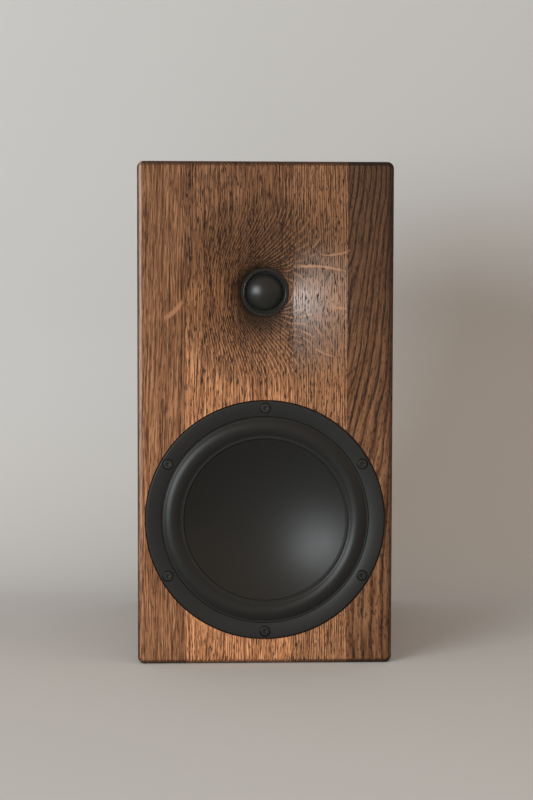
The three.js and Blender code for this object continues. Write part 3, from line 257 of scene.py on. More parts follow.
class Shape:
    """A mesh in the making. Sizes go in as millimetres and the mesh comes out in metres."""

    def __init__(self, bm: bmesh.types.BMesh | None = None) -> None:
        """Starts from a mesh, or from nothing."""
        self.bm = bm or bmesh.new()

    def turn(self, profile: Sequence[Point], centre: Vector = Vector(), segments: int = 128,
             closed: bool = True) -> "Shape":
        """Turns a profile round the Y axis through a centre.

        Args:
            profile: points as (radius, y), with y counted from the centre.
            centre: the point on the axis that the profile is measured from.
            segments: how many steps a full turn has.
            closed: whether the last point joins the first.

        Returns:
            This shape.
        """
        verts = [self.bm.verts.new((centre.x, centre.y + y, centre.z + r)) for r, y in profile]
        edges = [self.bm.edges.new(pair) for pair in zip(verts, verts[1:])]
        if closed and not (profile[0][0] == 0 and profile[-1][0] == 0):
            edges.append(self.bm.edges.new((verts[-1], verts[0])))
        bmesh.ops.spin(
            self.bm, geom=verts + edges, cent=centre, axis=(0, 1, 0), dvec=(0, 0, 0),
            angle=2 * math.pi, space=Matrix.Identity(4), steps=segments, use_merge=True,
            use_duplicate=False,
        )
        bmesh.ops.remove_doubles(self.bm, verts=self.bm.verts, dist=WELD)
        bmesh.ops.recalc_face_normals(self.bm, faces=self.bm.faces)
        return self

    def rod(self, centre: Vector, radius: float, front: float, back: float, segments: int) -> "Shape":
        """Adds a round rod along Y, from its front to its back as counted from a point on its axis."""
        return self.turn([(0, front), (radius, front), (radius, back), (0, back)], centre, segments)

    def block(self, lowest: Sequence[float], highest: Sequence[float]) -> "Shape":
        """Adds a box between two corners.

        Args:
            lowest: the lowest corner.
            highest: the highest corner.

        Returns:
            This shape.
        """
        a, b = Vector(lowest), Vector(highest)
        made = bmesh.ops.create_cube(self.bm, size=1)["verts"]
        bmesh.ops.scale(self.bm, verts=made, vec=b - a)
        bmesh.ops.translate(self.bm, verts=made, vec=(a + b) / 2)
        return self

    def plate(self, centre: Vector, width: float, height: float, front: float, back: float,
              corner: float) -> "Shape":
        """Adds an upright plate with round corners.

        Args:
            centre: the point that the plate is centred on, seen along Y.
            width: its size along X.
            height: its size along Z.
            front: its lowest y, counted from the centre.
            back: its highest y, counted from the centre.
            corner: the radius of its corners.

        Returns:
            This shape.
        """
        half = Vector((width / 2, 0, height / 2))
        self.block(centre - half + Vector((0, front, 0)), centre + half + Vector((0, back, 0)))
        return self.bevel(corner, 10, lambda e: runs_along_y(e) and fits(e, height, width, centre))

    def bevel(self, offset: float, segments: int, choose: Callable[[bmesh.types.BMEdge], bool]) -> "Shape":
        """Rounds the edges that a test picks.

        Args:
            offset: how far the round reaches from the edge.
            segments: how many facets the round has.
            choose: says whether an edge is rounded.

        Returns:
            This shape.
        """
        bmesh.ops.bevel(
            self.bm, geom=[e for e in self.bm.edges if choose(e)], offset=offset,
            offset_type="OFFSET", affect="EDGES", segments=segments, profile=0.5,
            material=-1, clamp_overlap=True,
        )
        return self

    def soften_rim(self, y: float, radius: float, segments: int = 5) -> "Shape":
        """Rounds the sharp edges that lie in the upright plane at y, with a number of facets."""
        return self.bevel(radius, segments, lambda e: lies_at(e, y) and e.calc_face_angle(0) > CREASE)

    def halve(self, point: Sequence[float], away: Sequence[float]) -> "Shape":
        """Cuts the shape with a plane, drops the side beyond it and closes the cut.

        Args:
            point: a point on the plane.
            away: the plane's normal, towards the side that is dropped.

        Returns:
            This shape.
        """
        geom = list(self.bm.verts) + list(self.bm.edges) + list(self.bm.faces)
        bmesh.ops.bisect_plane(
            self.bm, geom=geom, dist=ON_PLANE, plane_co=point, plane_no=away, clear_outer=True,
        )
        open_edges = [e for e in self.bm.edges if e.is_boundary]
        bmesh.ops.edgeloop_fill(self.bm, edges=open_edges)
        return self

    def open_at(self, y: float) -> "Shape":
        """Takes away the flat faces that lie in an upright plane.

        Args:
            y: where the plane is.

        Returns:
            This shape.
        """
        flat = [f for f in self.bm.faces if all(lies_at(e, y) for e in f.edges)]
        bmesh.ops.delete(self.bm, geom=flat, context="FACES_ONLY")
        return self

    def close_at(self, y: float) -> "Shape":
        """Fills the space between all the open loops that lie in an upright plane.

        Args:
            y: where the plane is.

        Returns:
            This shape.
        """
        rims = [e for e in self.bm.edges if e.is_boundary and lies_at(e, y)]
        bmesh.ops.triangle_fill(self.bm, use_beauty=True, use_dissolve=False, edges=rims)
        return self

    def solid(self, other: "Shape", how: Solid = Solid.CUT) -> "Shape":
        """Cuts another closed shape out of this one, or joins it on.

        Args:
            other: the other shape, which is used up.
            how: whether it is cut out or joined on.

        Returns:
            This shape.
        """
        pair = []
        for shape in (self, other):
            mesh = bpy.data.meshes.new("work")
            bmesh.ops.recalc_face_normals(shape.bm, faces=shape.bm.faces)
            shape.bm.to_mesh(mesh)
            pair.append(bpy.data.objects.new("work", mesh))
            bpy.context.scene.collection.objects.link(pair[-1])
        modifier = pair[0].modifiers.new("solid", "BOOLEAN")
        modifier.operation = how.value
        modifier.solver = "EXACT"
        modifier.object = pair[1]
        bpy.context.view_layer.update()
        made = pair[0].evaluated_get(bpy.context.evaluated_depsgraph_get()).to_mesh()
        self.bm.clear()
        self.bm.from_mesh(made)
        for work in pair:
            bpy.data.meshes.remove(work.data)
        other.bm.free()
        bmesh.ops.remove_doubles(self.bm, verts=self.bm.verts, dist=WELD)
        return self

    def move(self, matrix: Matrix) -> "Shape":
        """Moves the whole shape by a matrix, in millimetres."""
        bmesh.ops.transform(self.bm, matrix=matrix, verts=self.bm.verts)
        return self

    def copy(self) -> "Shape":
        """Another shape with the same mesh."""
        return Shape(self.bm.copy())

    def add(self, other: "Shape") -> "Shape":
        """Adds a shape that stays clear of this one.

        Args:
            other: the other shape, which stays usable.

        Returns:
            This shape.
        """
        mesh = bpy.data.meshes.new("work")
        other.bm.to_mesh(mesh)
        self.bm.from_mesh(mesh)
        bpy.data.meshes.remove(mesh)
        return self

    def object(self, name: str, closed: bool = True) -> Piece:
        """Makes the mesh an object in the scene.

        Args:
            name: the object's name.
            closed: whether it is a closed solid, whose normals are turned outward.

        Returns:
            The object, at the origin.
        """
        if closed:
            bmesh.ops.recalc_face_normals(self.bm, faces=self.bm.faces)
        bmesh.ops.scale(self.bm, vec=(MM, MM, MM), verts=self.bm.verts)
        mesh = bpy.data.meshes.new(name)
        self.bm.to_mesh(mesh)
        self.bm.free()
        made = bpy.data.objects.new(name, mesh)
        bpy.context.scene.collection.objects.link(made)
        return made


def runs_along_y(edge: bmesh.types.BMEdge) -> bool:
    """Whether an edge runs straight along Y."""
    a, b = (v.co for v in edge.verts)
    return abs(a.x - b.x) < WELD and abs(a.z - b.z) < WELD


def lies_at(edge: bmesh.types.BMEdge, y: float) -> bool:
    """Whether an edge lies in an upright plane."""
    return all(abs(v.co.y - y) < LEVEL for v in edge.verts)


def fits(edge: bmesh.types.BMEdge, height: float, width: float, centre: Vector) -> bool:
    """Whether an edge is one of the corners of a plate of this size."""
    away = edge.verts[0].co - centre
    return abs(abs(away.x) - width / 2) < LEVEL and abs(abs(away.z) - height / 2) < LEVEL


def about(centre: Vector, angle: float) -> Matrix:
    """A turn round the Y axis through a centre, by an angle in degrees."""
    turned = Matrix.Rotation(math.radians(angle), 4, "Y")
    return Matrix.Translation(centre) @ turned @ Matrix.Translation(-centre)


def round_about(shape: Shape, centre: Vector, count: int, first: float = 0.0) -> Shape:
    """Copies of a shape, evenly round the Y axis through a centre.

    Args:
        shape: the shape, which is used up.
        centre: a point on the axis.
        count: how many copies there are.
        first: how far the first is turned, in degrees.

    Returns:
        One shape with all the copies.
    """
    made = Shape()
    for i in range(count):
        one = shape.copy().move(about(centre, first + 360 * i / count))
        made.add(one)
        one.bm.free()
    shape.bm.free()
    return made


def smooth(piece: Piece, angle: float) -> None:
    """Shades a piece smooth, with hard edges where its faces meet at more than an angle.

    Args:
        piece: the object.
        angle: the angle, in degrees.
    """
    mesh = piece.data
    mesh.validate()
    mesh.shade_smooth()
    mesh.set_sharp_from_angle(angle=math.radians(angle))
    weighted = piece.modifiers.new("flat faces stay flat", "WEIGHTED_NORMAL")
    weighted.mode = "FACE_AREA"
    weighted.keep_sharp = True


# ---- Shader making ----


class Tree:
    """A short way to write the nodes of a material or of a node group."""

    def __init__(self, tree: bpy.types.NodeTree) -> None:
        """Wraps a node tree."""
        self.tree = tree

    def add(self, kind: str, inputs: dict | None = None, **settings: object) -> bpy.types.Node:
        """Adds a node.

        Args:
            kind: the node's type.
            inputs: values or sockets for its inputs, by name or number.
            settings: the node's own settings.

        Returns:
            The node.
        """
        node = self.tree.nodes.new(kind)
        for key, value in settings.items():
            setattr(node, key, value)
        for key, value in (inputs or {}).items():
            if isinstance(value, Link):
                self.tree.links.new(value, node.inputs[key])
            else:
                node.inputs[key].default_value = value
        return node

    def math(self, operation: str, a: object, b: object = 0.0, c: object = 0.0) -> Link:
        """A Math node's result."""
        return self.add("ShaderNodeMath", {0: a, 1: b, 2: c}, operation=operation).outputs[0]

    def times(self, a: object, b: object) -> Link:
        """The product of two numbers."""
        return self.math("MULTIPLY", a, b)

    def affine(self, a: object, b: object, c: object) -> Link:
        """A number times another, and a third added."""
        return self.math("MULTIPLY_ADD", a, b, c)

    def vector(self, operation: str, a: object, b: object = (0, 0, 0)) -> Link:
        """A Vector Math node's vector result."""
        return self.add("ShaderNodeVectorMath", {0: a, 1: b}, operation=operation).outputs[0]

    def dot(self, a: object, b: object) -> Link:
        """The dot product of two vectors."""
        return self.add("ShaderNodeVectorMath", {0: a, 1: b}, operation="DOT_PRODUCT").outputs["Value"]

    def length(self, a: object) -> Link:
        """The length of a vector."""
        return self.add("ShaderNodeVectorMath", {0: a}, operation="LENGTH").outputs["Value"]

    def combine(self, x: object, y: object, z: object) -> Link:
        """A vector from three numbers."""
        return self.add("ShaderNodeCombineXYZ", {0: x, 1: y, 2: z}).outputs[0]

    def separate(self, vector: Link) -> list[Link]:
        """The three numbers of a vector."""
        return list(self.add("ShaderNodeSeparateXYZ", {0: vector}).outputs)

    def noise(self, vector: object, scale: float = 1.0, detail: float = 2.0,
              roughness: float = 0.5) -> Link:
        """Noise in three dimensions, about 0.5."""
        inputs = {"Vector": vector, "Scale": scale, "Detail": detail, "Roughness": roughness}
        return self.add("ShaderNodeTexNoise", inputs).outputs[0]

    def step(self, value: object, start: float, end: float) -> Link:
        """A smooth step from 0 at one value to 1 at another."""
        inputs = {"Value": value, "From Min": start, "From Max": end}
        return self.add("ShaderNodeMapRange", inputs, interpolation_type="SMOOTHSTEP").outputs[0]

    def mix(self, factor: object, a: object, b: object) -> Link:
        """A mix of two colours."""
        return self.add("ShaderNodeMix", {0: factor, 6: a, 7: b}, data_type="RGBA").outputs[2]

    def swing(self, noise: Link, span: float) -> Link:
        """Noise that swings about 0 instead of about 0.5, over a span."""
        return self.affine(noise, span, -span / 2)

    def shade(self, colour: object, tone: Link) -> Link:
        """A colour made lighter or darker by a number."""
        return self.vector("MULTIPLY", colour, self.combine(tone, tone, tone))

    def ramp(self, factor: Link, stops: Sequence[tuple[float, Sequence[float]]],
             interpolation: str = "LINEAR") -> Link:
        """Adds a colour ramp.

        Args:
            factor: the place on the ramp.
            stops: each stop's place and colour.
            interpolation: how the colours run between the stops.

        Returns:
            The colour.
        """
        node = self.add("ShaderNodeValToRGB", {0: factor})
        node.color_ramp.interpolation = interpolation
        elements = node.color_ramp.elements
        elements.remove(elements[1])
        elements[0].position, elements[0].color = stops[0]
        for place, colour in stops[1:]:
            elements.new(place).color = colour
        return node.outputs[0]

    def place(self) -> Link:
        """The point on the piece, in millimetres."""
        where = self.add("ShaderNodeTexCoord").outputs["Object"]
        return self.add("ShaderNodeVectorMath", {0: where, "Scale": 1 / MM}, operation="SCALE").outputs[0]

    def end_grain(self) -> Link:
        """How squarely the surface cuts the fibres, from 0 to 1."""
        return self.add("ShaderNodeAttribute", attribute_name=END_GRAIN).outputs["Fac"]

    def group(self, name: str, inputs: dict | None = None) -> bpy.types.Node:
        """Places a node group, with values or sockets for its inputs."""
        return self.add("ShaderNodeGroup", inputs, node_tree=bpy.data.node_groups[name])

    def surface(self, colour: object, roughness: object, height: object = None,
                relief: float = 0.1, **fixed: object) -> bpy.types.Node:
        """Adds the Principled shader and the output.

        Args:
            colour: the base colour.
            roughness: the roughness.
            height: a height for the bump, from 0 to 1, or none.
            relief: how deep a height of 1 is, in millimetres.
            fixed: values for the shader's other inputs, with _ for a space.

        Returns:
            The shader's node.
        """
        shader = self.add("ShaderNodeBsdfPrincipled", {"Base Color": colour, "Roughness": roughness})
        for key, value in fixed.items():
            shader.inputs[key.replace("_", " ")].default_value = value
        if height is not None:
            bump = self.add("ShaderNodeBump", {"Height": height, "Distance": relief * MM})
            self.tree.links.new(bump.outputs[0], shader.inputs["Normal"])
        self.add("ShaderNodeOutputMaterial", {0: shader.outputs[0]})
        return shader


class Socket(Enum):
    """The kinds of socket that a node group may have."""

    NUMBER = "NodeSocketFloat"
    VECTOR = "NodeSocketVector"
    COLOUR = "NodeSocketColor"


def node_group(name: str, inputs: dict[str, object], outputs: dict[str, Socket],
               build: Callable[[Tree, dict], dict]) -> None:
    """Makes a shader node group.

    Args:
        name: the group's name.
        inputs: each input's default, a number or a vector.
        outputs: each output's kind.
        build: adds the nodes; it is given the inputs' sockets and returns the outputs' sockets.
    """
    tree = bpy.data.node_groups.new(name, "ShaderNodeTree")
    for key, default in inputs.items():
        kind = Socket.VECTOR if isinstance(default, tuple) else Socket.NUMBER
        socket = tree.interface.new_socket(key, in_out="INPUT", socket_type=kind.value)
        socket.default_value = default
    for key, kind in outputs.items():
        tree.interface.new_socket(key, in_out="OUTPUT", socket_type=kind.value)
    nodes = Tree(tree)
    start = nodes.add("NodeGroupInput")
    end = nodes.add("NodeGroupOutput")
    made = build(nodes, {key: start.outputs[key] for key in inputs})
    for key, socket in made.items():
        tree.links.new(socket, end.inputs[key])


OAK_LIGHT = srgb(176, 127, 91)
OAK_MID = srgb(134, 88, 57)
OAK_DARK = srgb(72, 44, 28)
OAK_PORE = srgb(36, 23, 16)
OAK_RAY = srgb(190, 134, 90)
OAK_FLECK = srgb(168, 122, 88)
OAK_SOAKED = srgb(50, 33, 24)
# Painted highlight: the pale colour of the strip along the left rounded edge, where the key light would
# reflect.
OAK_PAINTED_HIGHLIGHT = srgb(178, 152, 140)
OAK_END_SHADE = 0.96
OAK_THIRST = 5.0
VESSEL_ACROSS = 0.58
VESSEL_INWARD = 0.95
RAY_PITCH = 0.95
RAY_LINE = (0.2, 0.05)
RAY_SEED = 7.31
RAY_SHOWN = (0.24, 0.54)
RAY_OPENING = (0.02, 0.16)
PORE_OPEN = (0.54, 0.63)
PORE_CROWDING = (0.11, -0.045)
LATE_START = (0.5, 0.86)
LATE_END = (1.0, 0.92)
BAND = (0.36, 0.66)

# How fast the slow noise changes along each direction, per millimetre.
BROAD_SCALE = (0.022, 0.022, 0.006)
WOBBLE_SCALE = (0.16, 0.16, 0.03)
CLOUD_SCALE = (0.03, 0.03, 0.012)

# How far noise swings about 0, in millimetres for the first two and in rings or rays for the others.
BROAD_SWING = 9.0
WOBBLE_SWING = 0.7
YEAR_SWING = 3.0
RAY_SWING = 2.4

# How big one unit of unevenness is: across a set of planes, along them, and along the fibre.
YEAR_WAVES = (7, 50, 100)
YEAR_BANDS = (1.1, 30, 90)
FIBRES = (0.78, 1.2, 22)
RAY_WAVES = (8, 40, 60)


def build_oak(nodes: Tree, given: dict) -> dict:
    """Solid oak: growth rings, open pores and rays, all running through the wood's thickness.

    Args:
        nodes: the group's nodes.
        given: Position in millimetres, with x across, y into the board and z along the fibre;
            Ring Lean and Ray Lean, how far rings and rays turn from square to the face; Ring Pitch;
            Regular, how evenly the rings lie; Pore Length; Rings, Rays, Pores and Contrast, how
            strong each is; Gloss; End Grain, 1 where the fibres are cut square.

    Returns:
        The group's colour, roughness and height.
    """
    point = given["Position"]
    x, y, z = nodes.separate(point)
    broad = nodes.noise(nodes.vector("MULTIPLY", point, BROAD_SCALE))
    wobble = nodes.noise(nodes.vector("MULTIPLY", point, WOBBLE_SCALE), detail=1)
    shift = nodes.math("ADD", nodes.swing(broad, BROAD_SWING), nodes.swing(wobble, WOBBLE_SWING))
    bent = nodes.math("ADD", x, shift)

    def planes(lean: Link) -> tuple[Link, Link]:
        """Measures the distances square to a set of leaning planes and along them.

        Args:
            lean: how far the planes turn from square to the face.

        Returns:
            Both distances.
        """
        size = nodes.math("POWER", nodes.affine(lean, lean, 1.0), -0.5)
        square = nodes.times(nodes.affine(lean, y, bent), size)
        rest = nodes.math("SUBTRACT", y, nodes.times(lean, bent))
        return square, nodes.times(rest, size)

    def stretched(place: tuple, grain: tuple[float, float, float]) -> Link:
        """The point in a set of planes' own directions, scaled so that one grain is one unit."""
        return nodes.combine(nodes.times(place[0], 1 / grain[0]), nodes.times(place[1], 1 / grain[1]),
                             nodes.times(z, 1 / grain[2]))

    ring = planes(given["Ring Lean"])
    ray = planes(given["Ray Lean"])
    waves = nodes.swing(nodes.noise(stretched(ring, YEAR_WAVES)), YEAR_SWING)
    year = nodes.math("ADD", nodes.math("DIVIDE", ring[0], given["Ring Pitch"]), waves)
    season = nodes.math("FRACT", year)
    late = nodes.times(nodes.step(season, *LATE_START), nodes.step(season, *LATE_END))
    uneven = nodes.step(nodes.noise(stretched(ring, YEAR_BANDS), detail=3, roughness=0.65), *BAND)
    rings = nodes.mix(given["Regular"], uneven, late)
    fibres = nodes.noise(stretched(ring, FIBRES), roughness=0.65)
    crowd = nodes.affine(rings, *PORE_CROWDING)
    vessel = nodes.combine(nodes.times(ring[0], 1 / VESSEL_ACROSS), nodes.times(ring[1], 1 / VESSEL_INWARD),
                           nodes.math("DIVIDE", z, given["Pore Length"]))
    pores = nodes.step(nodes.math("ADD", nodes.noise(vessel, detail=1), crowd), *PORE_OPEN)

    waves = nodes.swing(nodes.noise(stretched(ray, RAY_WAVES)), RAY_SWING)
    lane = nodes.math("ADD", nodes.times(ray[0], 1 / RAY_PITCH), waves)
    off = nodes.math("ABSOLUTE", nodes.math("SUBTRACT", nodes.math("FRACT", lane), 0.5))
    line = nodes.step(off, *RAY_LINE)
    which = nodes.combine(nodes.times(nodes.math("FLOOR", lane), RAY_SEED),
                          nodes.times(ray[1], 0.07), nodes.times(z, 0.06))
    rays = nodes.times(line, nodes.step(nodes.noise(which, detail=1), *RAY_SHOWN))
    clouds = nodes.noise(nodes.vector("MULTIPLY", point, CLOUD_SCALE), detail=3)

    plain = nodes.affine(nodes.math("SUBTRACT", fibres, 0.5), given["Contrast"],
                         nodes.affine(clouds, 0.5, 0.2))
    tone = nodes.affine(nodes.math("SUBTRACT", rings, 0.45), given["Rings"], plain)
    colour = nodes.ramp(tone, ((0.0, OAK_LIGHT), (0.45, OAK_MID), (1.0, OAK_DARK)))
    thirst = nodes.math("EXPONENT", nodes.times(given["End Grain"], -OAK_THIRST))
    soaked = nodes.math("SUBTRACT", 1.0, thirst)
    colour = nodes.mix(nodes.times(soaked, OAK_END_SHADE), colour, OAK_SOAKED)
    faded = nodes.affine(soaked, -0.5, 1.0)
    opened = nodes.affine(nodes.step(given["End Grain"], *RAY_OPENING), 0.75, 0.25)
    strength = nodes.times(nodes.times(rays, given["Rays"]), opened)
    colour = nodes.mix(strength, colour, nodes.shade(OAK_RAY[:3], faded))
    colour = nodes.mix(nodes.times(pores, given["Pores"]), colour, OAK_PORE)
    rough = nodes.affine(pores, 0.25, given["Gloss"])
    height = nodes.math("SUBTRACT", nodes.affine(fibres, 0.25, 0.7),
                        nodes.affine(pores, 0.7, nodes.times(rings, 0.15)))
    return {"Color": colour, "Roughness": rough, "Height": height}


FRAY_SCALE = (0.35, 0.35, 0.6)
FRAY_SWING = (2.4, 0.5)
FLECK_SIDE = (1.15, 0.45)
FLECK_END = (1.05, 0.55)


def build_fleck(nodes: Tree, given: dict) -> dict:
    """One pale ribbon where the surface runs along a ray.

    Args:
        nodes: the group's nodes.
        given: Position in millimetres; Centre, Along and Square, the ribbon's middle and its two
            directions in the board's face; Length and Width, halves; Bend, how it curves.

    Returns:
        A mask that is 1 on the ribbon.
    """
    away = nodes.vector("SUBTRACT", given["Position"], given["Centre"])
    along = nodes.dot(away, given["Along"])
    square = nodes.math("SUBTRACT", nodes.dot(away, given["Square"]),
                        nodes.times(nodes.times(along, along), given["Bend"]))
    frayed = nodes.noise(nodes.vector("MULTIPLY", given["Position"], FRAY_SCALE), detail=3)
    square = nodes.math("ABSOLUTE", nodes.math("ADD", square, nodes.swing(frayed, FRAY_SWING[0])))
    reach = nodes.math("DIVIDE", nodes.math("ABSOLUTE", along), given["Length"])
    body = nodes.step(nodes.math("DIVIDE", square, given["Width"]), *FLECK_SIDE)
    ends = nodes.step(nodes.math("ADD", reach, nodes.swing(frayed, FRAY_SWING[1])), *FLECK_END)
    return {"Mask": nodes.times(body, ends)}


def build_speckle(nodes: Tree, given: dict) -> dict:
    """The fine unevenness of a moulded, cast or painted surface.

    Args:
        nodes: the group's nodes.
        given: Position in millimetres and Size, the size of one grain.

    Returns:
        A height for the bump, and a slow variation for colour and roughness.
    """
    scale = nodes.math("DIVIDE", 1.0, given["Size"])
    fine = nodes.add("ShaderNodeTexNoise", {"Vector": given["Position"], "Scale": scale, "Detail": 2.0})
    slow = nodes.noise(given["Position"], scale=0.03, detail=3)
    return {"Height": fine.outputs[0], "Variation": slow}


DUST_SCALE = 0.32
DUST_PATCHES = (0.45, 0.75)
DUST_SPECK = (0.06, 0.02)


def build_dust(nodes: Tree, given: dict) -> dict:
    """A sparse scatter of dust specks.

    Args:
        nodes: the group's nodes.
        given: Position in millimetres and Amount.

    Returns:
        A mask that is 1 on a speck.
    """
    specks = nodes.add("ShaderNodeTexVoronoi", {"Vector": given["Position"], "Scale": DUST_SCALE})
    where = nodes.step(nodes.noise(given["Position"], scale=0.02), *DUST_PATCHES)
    dot = nodes.step(specks.outputs["Distance"], *DUST_SPECK)
    return {"Mask": nodes.times(nodes.times(dot, where), given["Amount"])}


def make_groups() -> None:
    """Makes the node groups that the finishes share."""
    point = (0, 0, 0)
    node_group(
        "solid_oak",
        {"Position": point, "Ring Lean": 0.1, "Ring Pitch": 2.0, "Regular": 0.2, "Rings": 0.5,
         "Ray Lean": 2.6, "Rays": 0.7, "Pores": 0.85, "Pore Length": 9.0, "Contrast": 1.0,
         "Gloss": 0.4, "End Grain": 0.0},
        {"Color": Socket.COLOUR, "Roughness": Socket.NUMBER, "Height": Socket.NUMBER},
        build_oak,
    )
    node_group(
        "fleck",
        {"Position": point, "Centre": point, "Along": (1, 0, 0), "Square": (0, 0, 1),
         "Length": 10.0, "Width": 1.0, "Bend": 0.0},
        {"Mask": Socket.NUMBER},
        build_fleck,
    )
    node_group(
        "speckle",
        {"Position": point, "Size": 0.3},
        {"Height": Socket.NUMBER, "Variation": Socket.NUMBER},
        build_speckle,
    )
    node_group("dust", {"Position": point, "Amount": 0.5}, {"Mask": Socket.NUMBER}, build_dust)


# ---- Finishes ----


def blank_material(name: str) -> bpy.types.Material:
    """A new material with an empty node tree.

    Args:
        name: its name.

    Returns:
        The material.
    """
    made = bpy.data.materials.new(name)
    made.use_nodes = True
    made.node_tree.nodes.clear()
    return made


@dataclass(frozen=True)
class Finish:
    """A finish that pieces can wear. Each kind fills in its own nodes."""

    name: str
    slot: str

    def material(self) -> bpy.types.Material:
        """Makes the finish's material, or finds it if it is made.

        Returns:
            The material.
        """
        found = bpy.data.materials.get(f"{self.name}_finish")
        if found:
            return found
        made = blank_material(f"{self.name}_finish")
        self.fill(Tree(made.node_tree))
        return made

    def fill(self, nodes: Tree) -> None:
        """Adds the finish's nodes."""
        raise NotImplementedError

    def wear(self, piece: Piece) -> None:
        """Puts the finish on a piece.

        Args:
            piece: the piece.
        """
        piece.data.materials.clear()
        piece.data.materials.append(self.material())


@dataclass(frozen=True)
class Stave:
    """One board of the baffle: where it starts, how its grain lies, and how it looks."""

    left: float
    ring_lean: float
    ring_pitch: float
    regular: float
    rings: float
    ray_lean: float
    rays: float
    pores: float
    pore_length: float
    contrast: float
    gloss: float
    coat: float
    top: float
    bottom: float
    drift: float
    fan: float = 0.0


STAVES = (
    Stave(left=-95.0, ring_lean=0.3, ring_pitch=3.0, regular=0.1, rings=0.5, ray_lean=2.2, rays=0.7,
          pores=0.6, pore_length=9.0, contrast=2.4, gloss=0.48, coat=0.0, top=0.7, bottom=0.92, drift=0.03),
    Stave(left=-59.7, ring_lean=0.15, ring_pitch=2.6, regular=0.1, rings=0.6, ray_lean=2.6, rays=1.0,
          pores=0.88, pore_length=6.5, contrast=2.5, gloss=0.48, coat=0.2, top=0.61, bottom=1.72, drift=0.01),
    Stave(left=20.6, ring_lean=0.05, ring_pitch=1.6, regular=0.85, rings=1.0, ray_lean=3.6, rays=0.75,
          pores=0.95, pore_length=5.0, contrast=3.7, gloss=0.4, coat=1.0, top=0.66, bottom=1.04, drift=-0.01),
    Stave(left=60.8, ring_lean=6.0, ring_pitch=0.8, regular=0.8, rings=0.72, ray_lean=0.2, rays=0.1,
          pores=0.6, pore_length=5.0, contrast=1.8, gloss=0.46, coat=0.0, top=0.25, bottom=0.58, drift=0.18,
          fan=0.003),
)


PLAIN_KEYS = ("regular", "rings", "rays", "pores", "gloss")


@dataclass(frozen=True)
class Fleck:
    """One wide pale ribbon on the baffle: its middle, how it turns, and its half length and width."""

    x: float
    z: float
    turn: float
    length: float
    width: float
    bend: float = 0.0


FLECKS = (
    Fleck(x=52.0, z=305.5, turn=9.0, length=11.5, width=0.8, bend=0.012),
    Fleck(x=41.0, z=296.5, turn=-6.0, length=21.0, width=1.1, bend=-0.004),
    Fleck(x=55.0, z=266.0, turn=-8.0, length=6.0, width=0.9, bend=0.01),
    Fleck(x=44.0, z=232.0, turn=-22.0, length=8.0, width=0.7, bend=0.01),
    Fleck(x=-67.0, z=264.0, turn=45.0, length=11.0, width=1.9, bend=0.012),
)


FLAT_AREA = 30 * MM * MM
OAK_IOR = 1.46
OAK_RELIEF = 0.12
DUST_COLOUR = srgb(120, 116, 110)


class Fibre(Enum):
    """Which way a board's fibres run, as the turn that brings them to the Z axis."""

    UP = (0.0, 0.0, 0.0)
    UP_ON_A_SIDE = (0.0, 0.0, math.pi / 2)
    ACROSS_ON_TOP = (math.pi / 2, math.pi / 2, 0.0)

    @property
    def direction(self) -> Vector:
        """The fibres' direction in the board."""
        return Vector((1, 0, 0)) if self is Fibre.ACROSS_ON_TOP else Vector((0, 0, 1))


@dataclass(frozen=True)
class Wooden(Finish):
    """A finish of wood, which needs to know where a piece's surface cuts the fibres."""

    fibre: Fibre = Fibre.UP

    def wear(self, piece: Piece) -> None:
        """Puts the finish on a piece and marks how squarely its surface cuts the fibres, from 0 to 1.

        Args:
            piece: the piece.
        """
        super().wear(piece)
        mesh = piece.data
        cut = [0.0] * len(mesh.loops)
        for face in mesh.polygons:
            for corner in face.loop_indices:
                normal = face.normal if face.area > FLAT_AREA else mesh.corner_normals[corner].vector
                cut[corner] = abs(normal.dot(self.fibre.direction))
        marks = mesh.attributes.new(END_GRAIN, "FLOAT", "CORNER")
        marks.data.foreach_set("value", cut)


@dataclass(frozen=True)
class ThroatShade:
    """One patch of painted shade in the horn's throat: its middle, where it starts and where it is full, and
    how dark it is.
    """

    x: float
    z: float
    outside: float
    inside: float
    strength: float


# Painted shade round the horn's throat, heaviest to its left, where the carved wall falls in shade.
THROAT_SHADE = (
    ThroatShade(x=-5.5, z=279.0, outside=24.0, inside=12.0, strength=0.8),
    ThroatShade(x=-5.0, z=263.0, outside=32.0, inside=8.0, strength=0.4),
    ThroatShade(x=-2.0, z=263.0, outside=22.0, inside=8.0, strength=0.48),
)


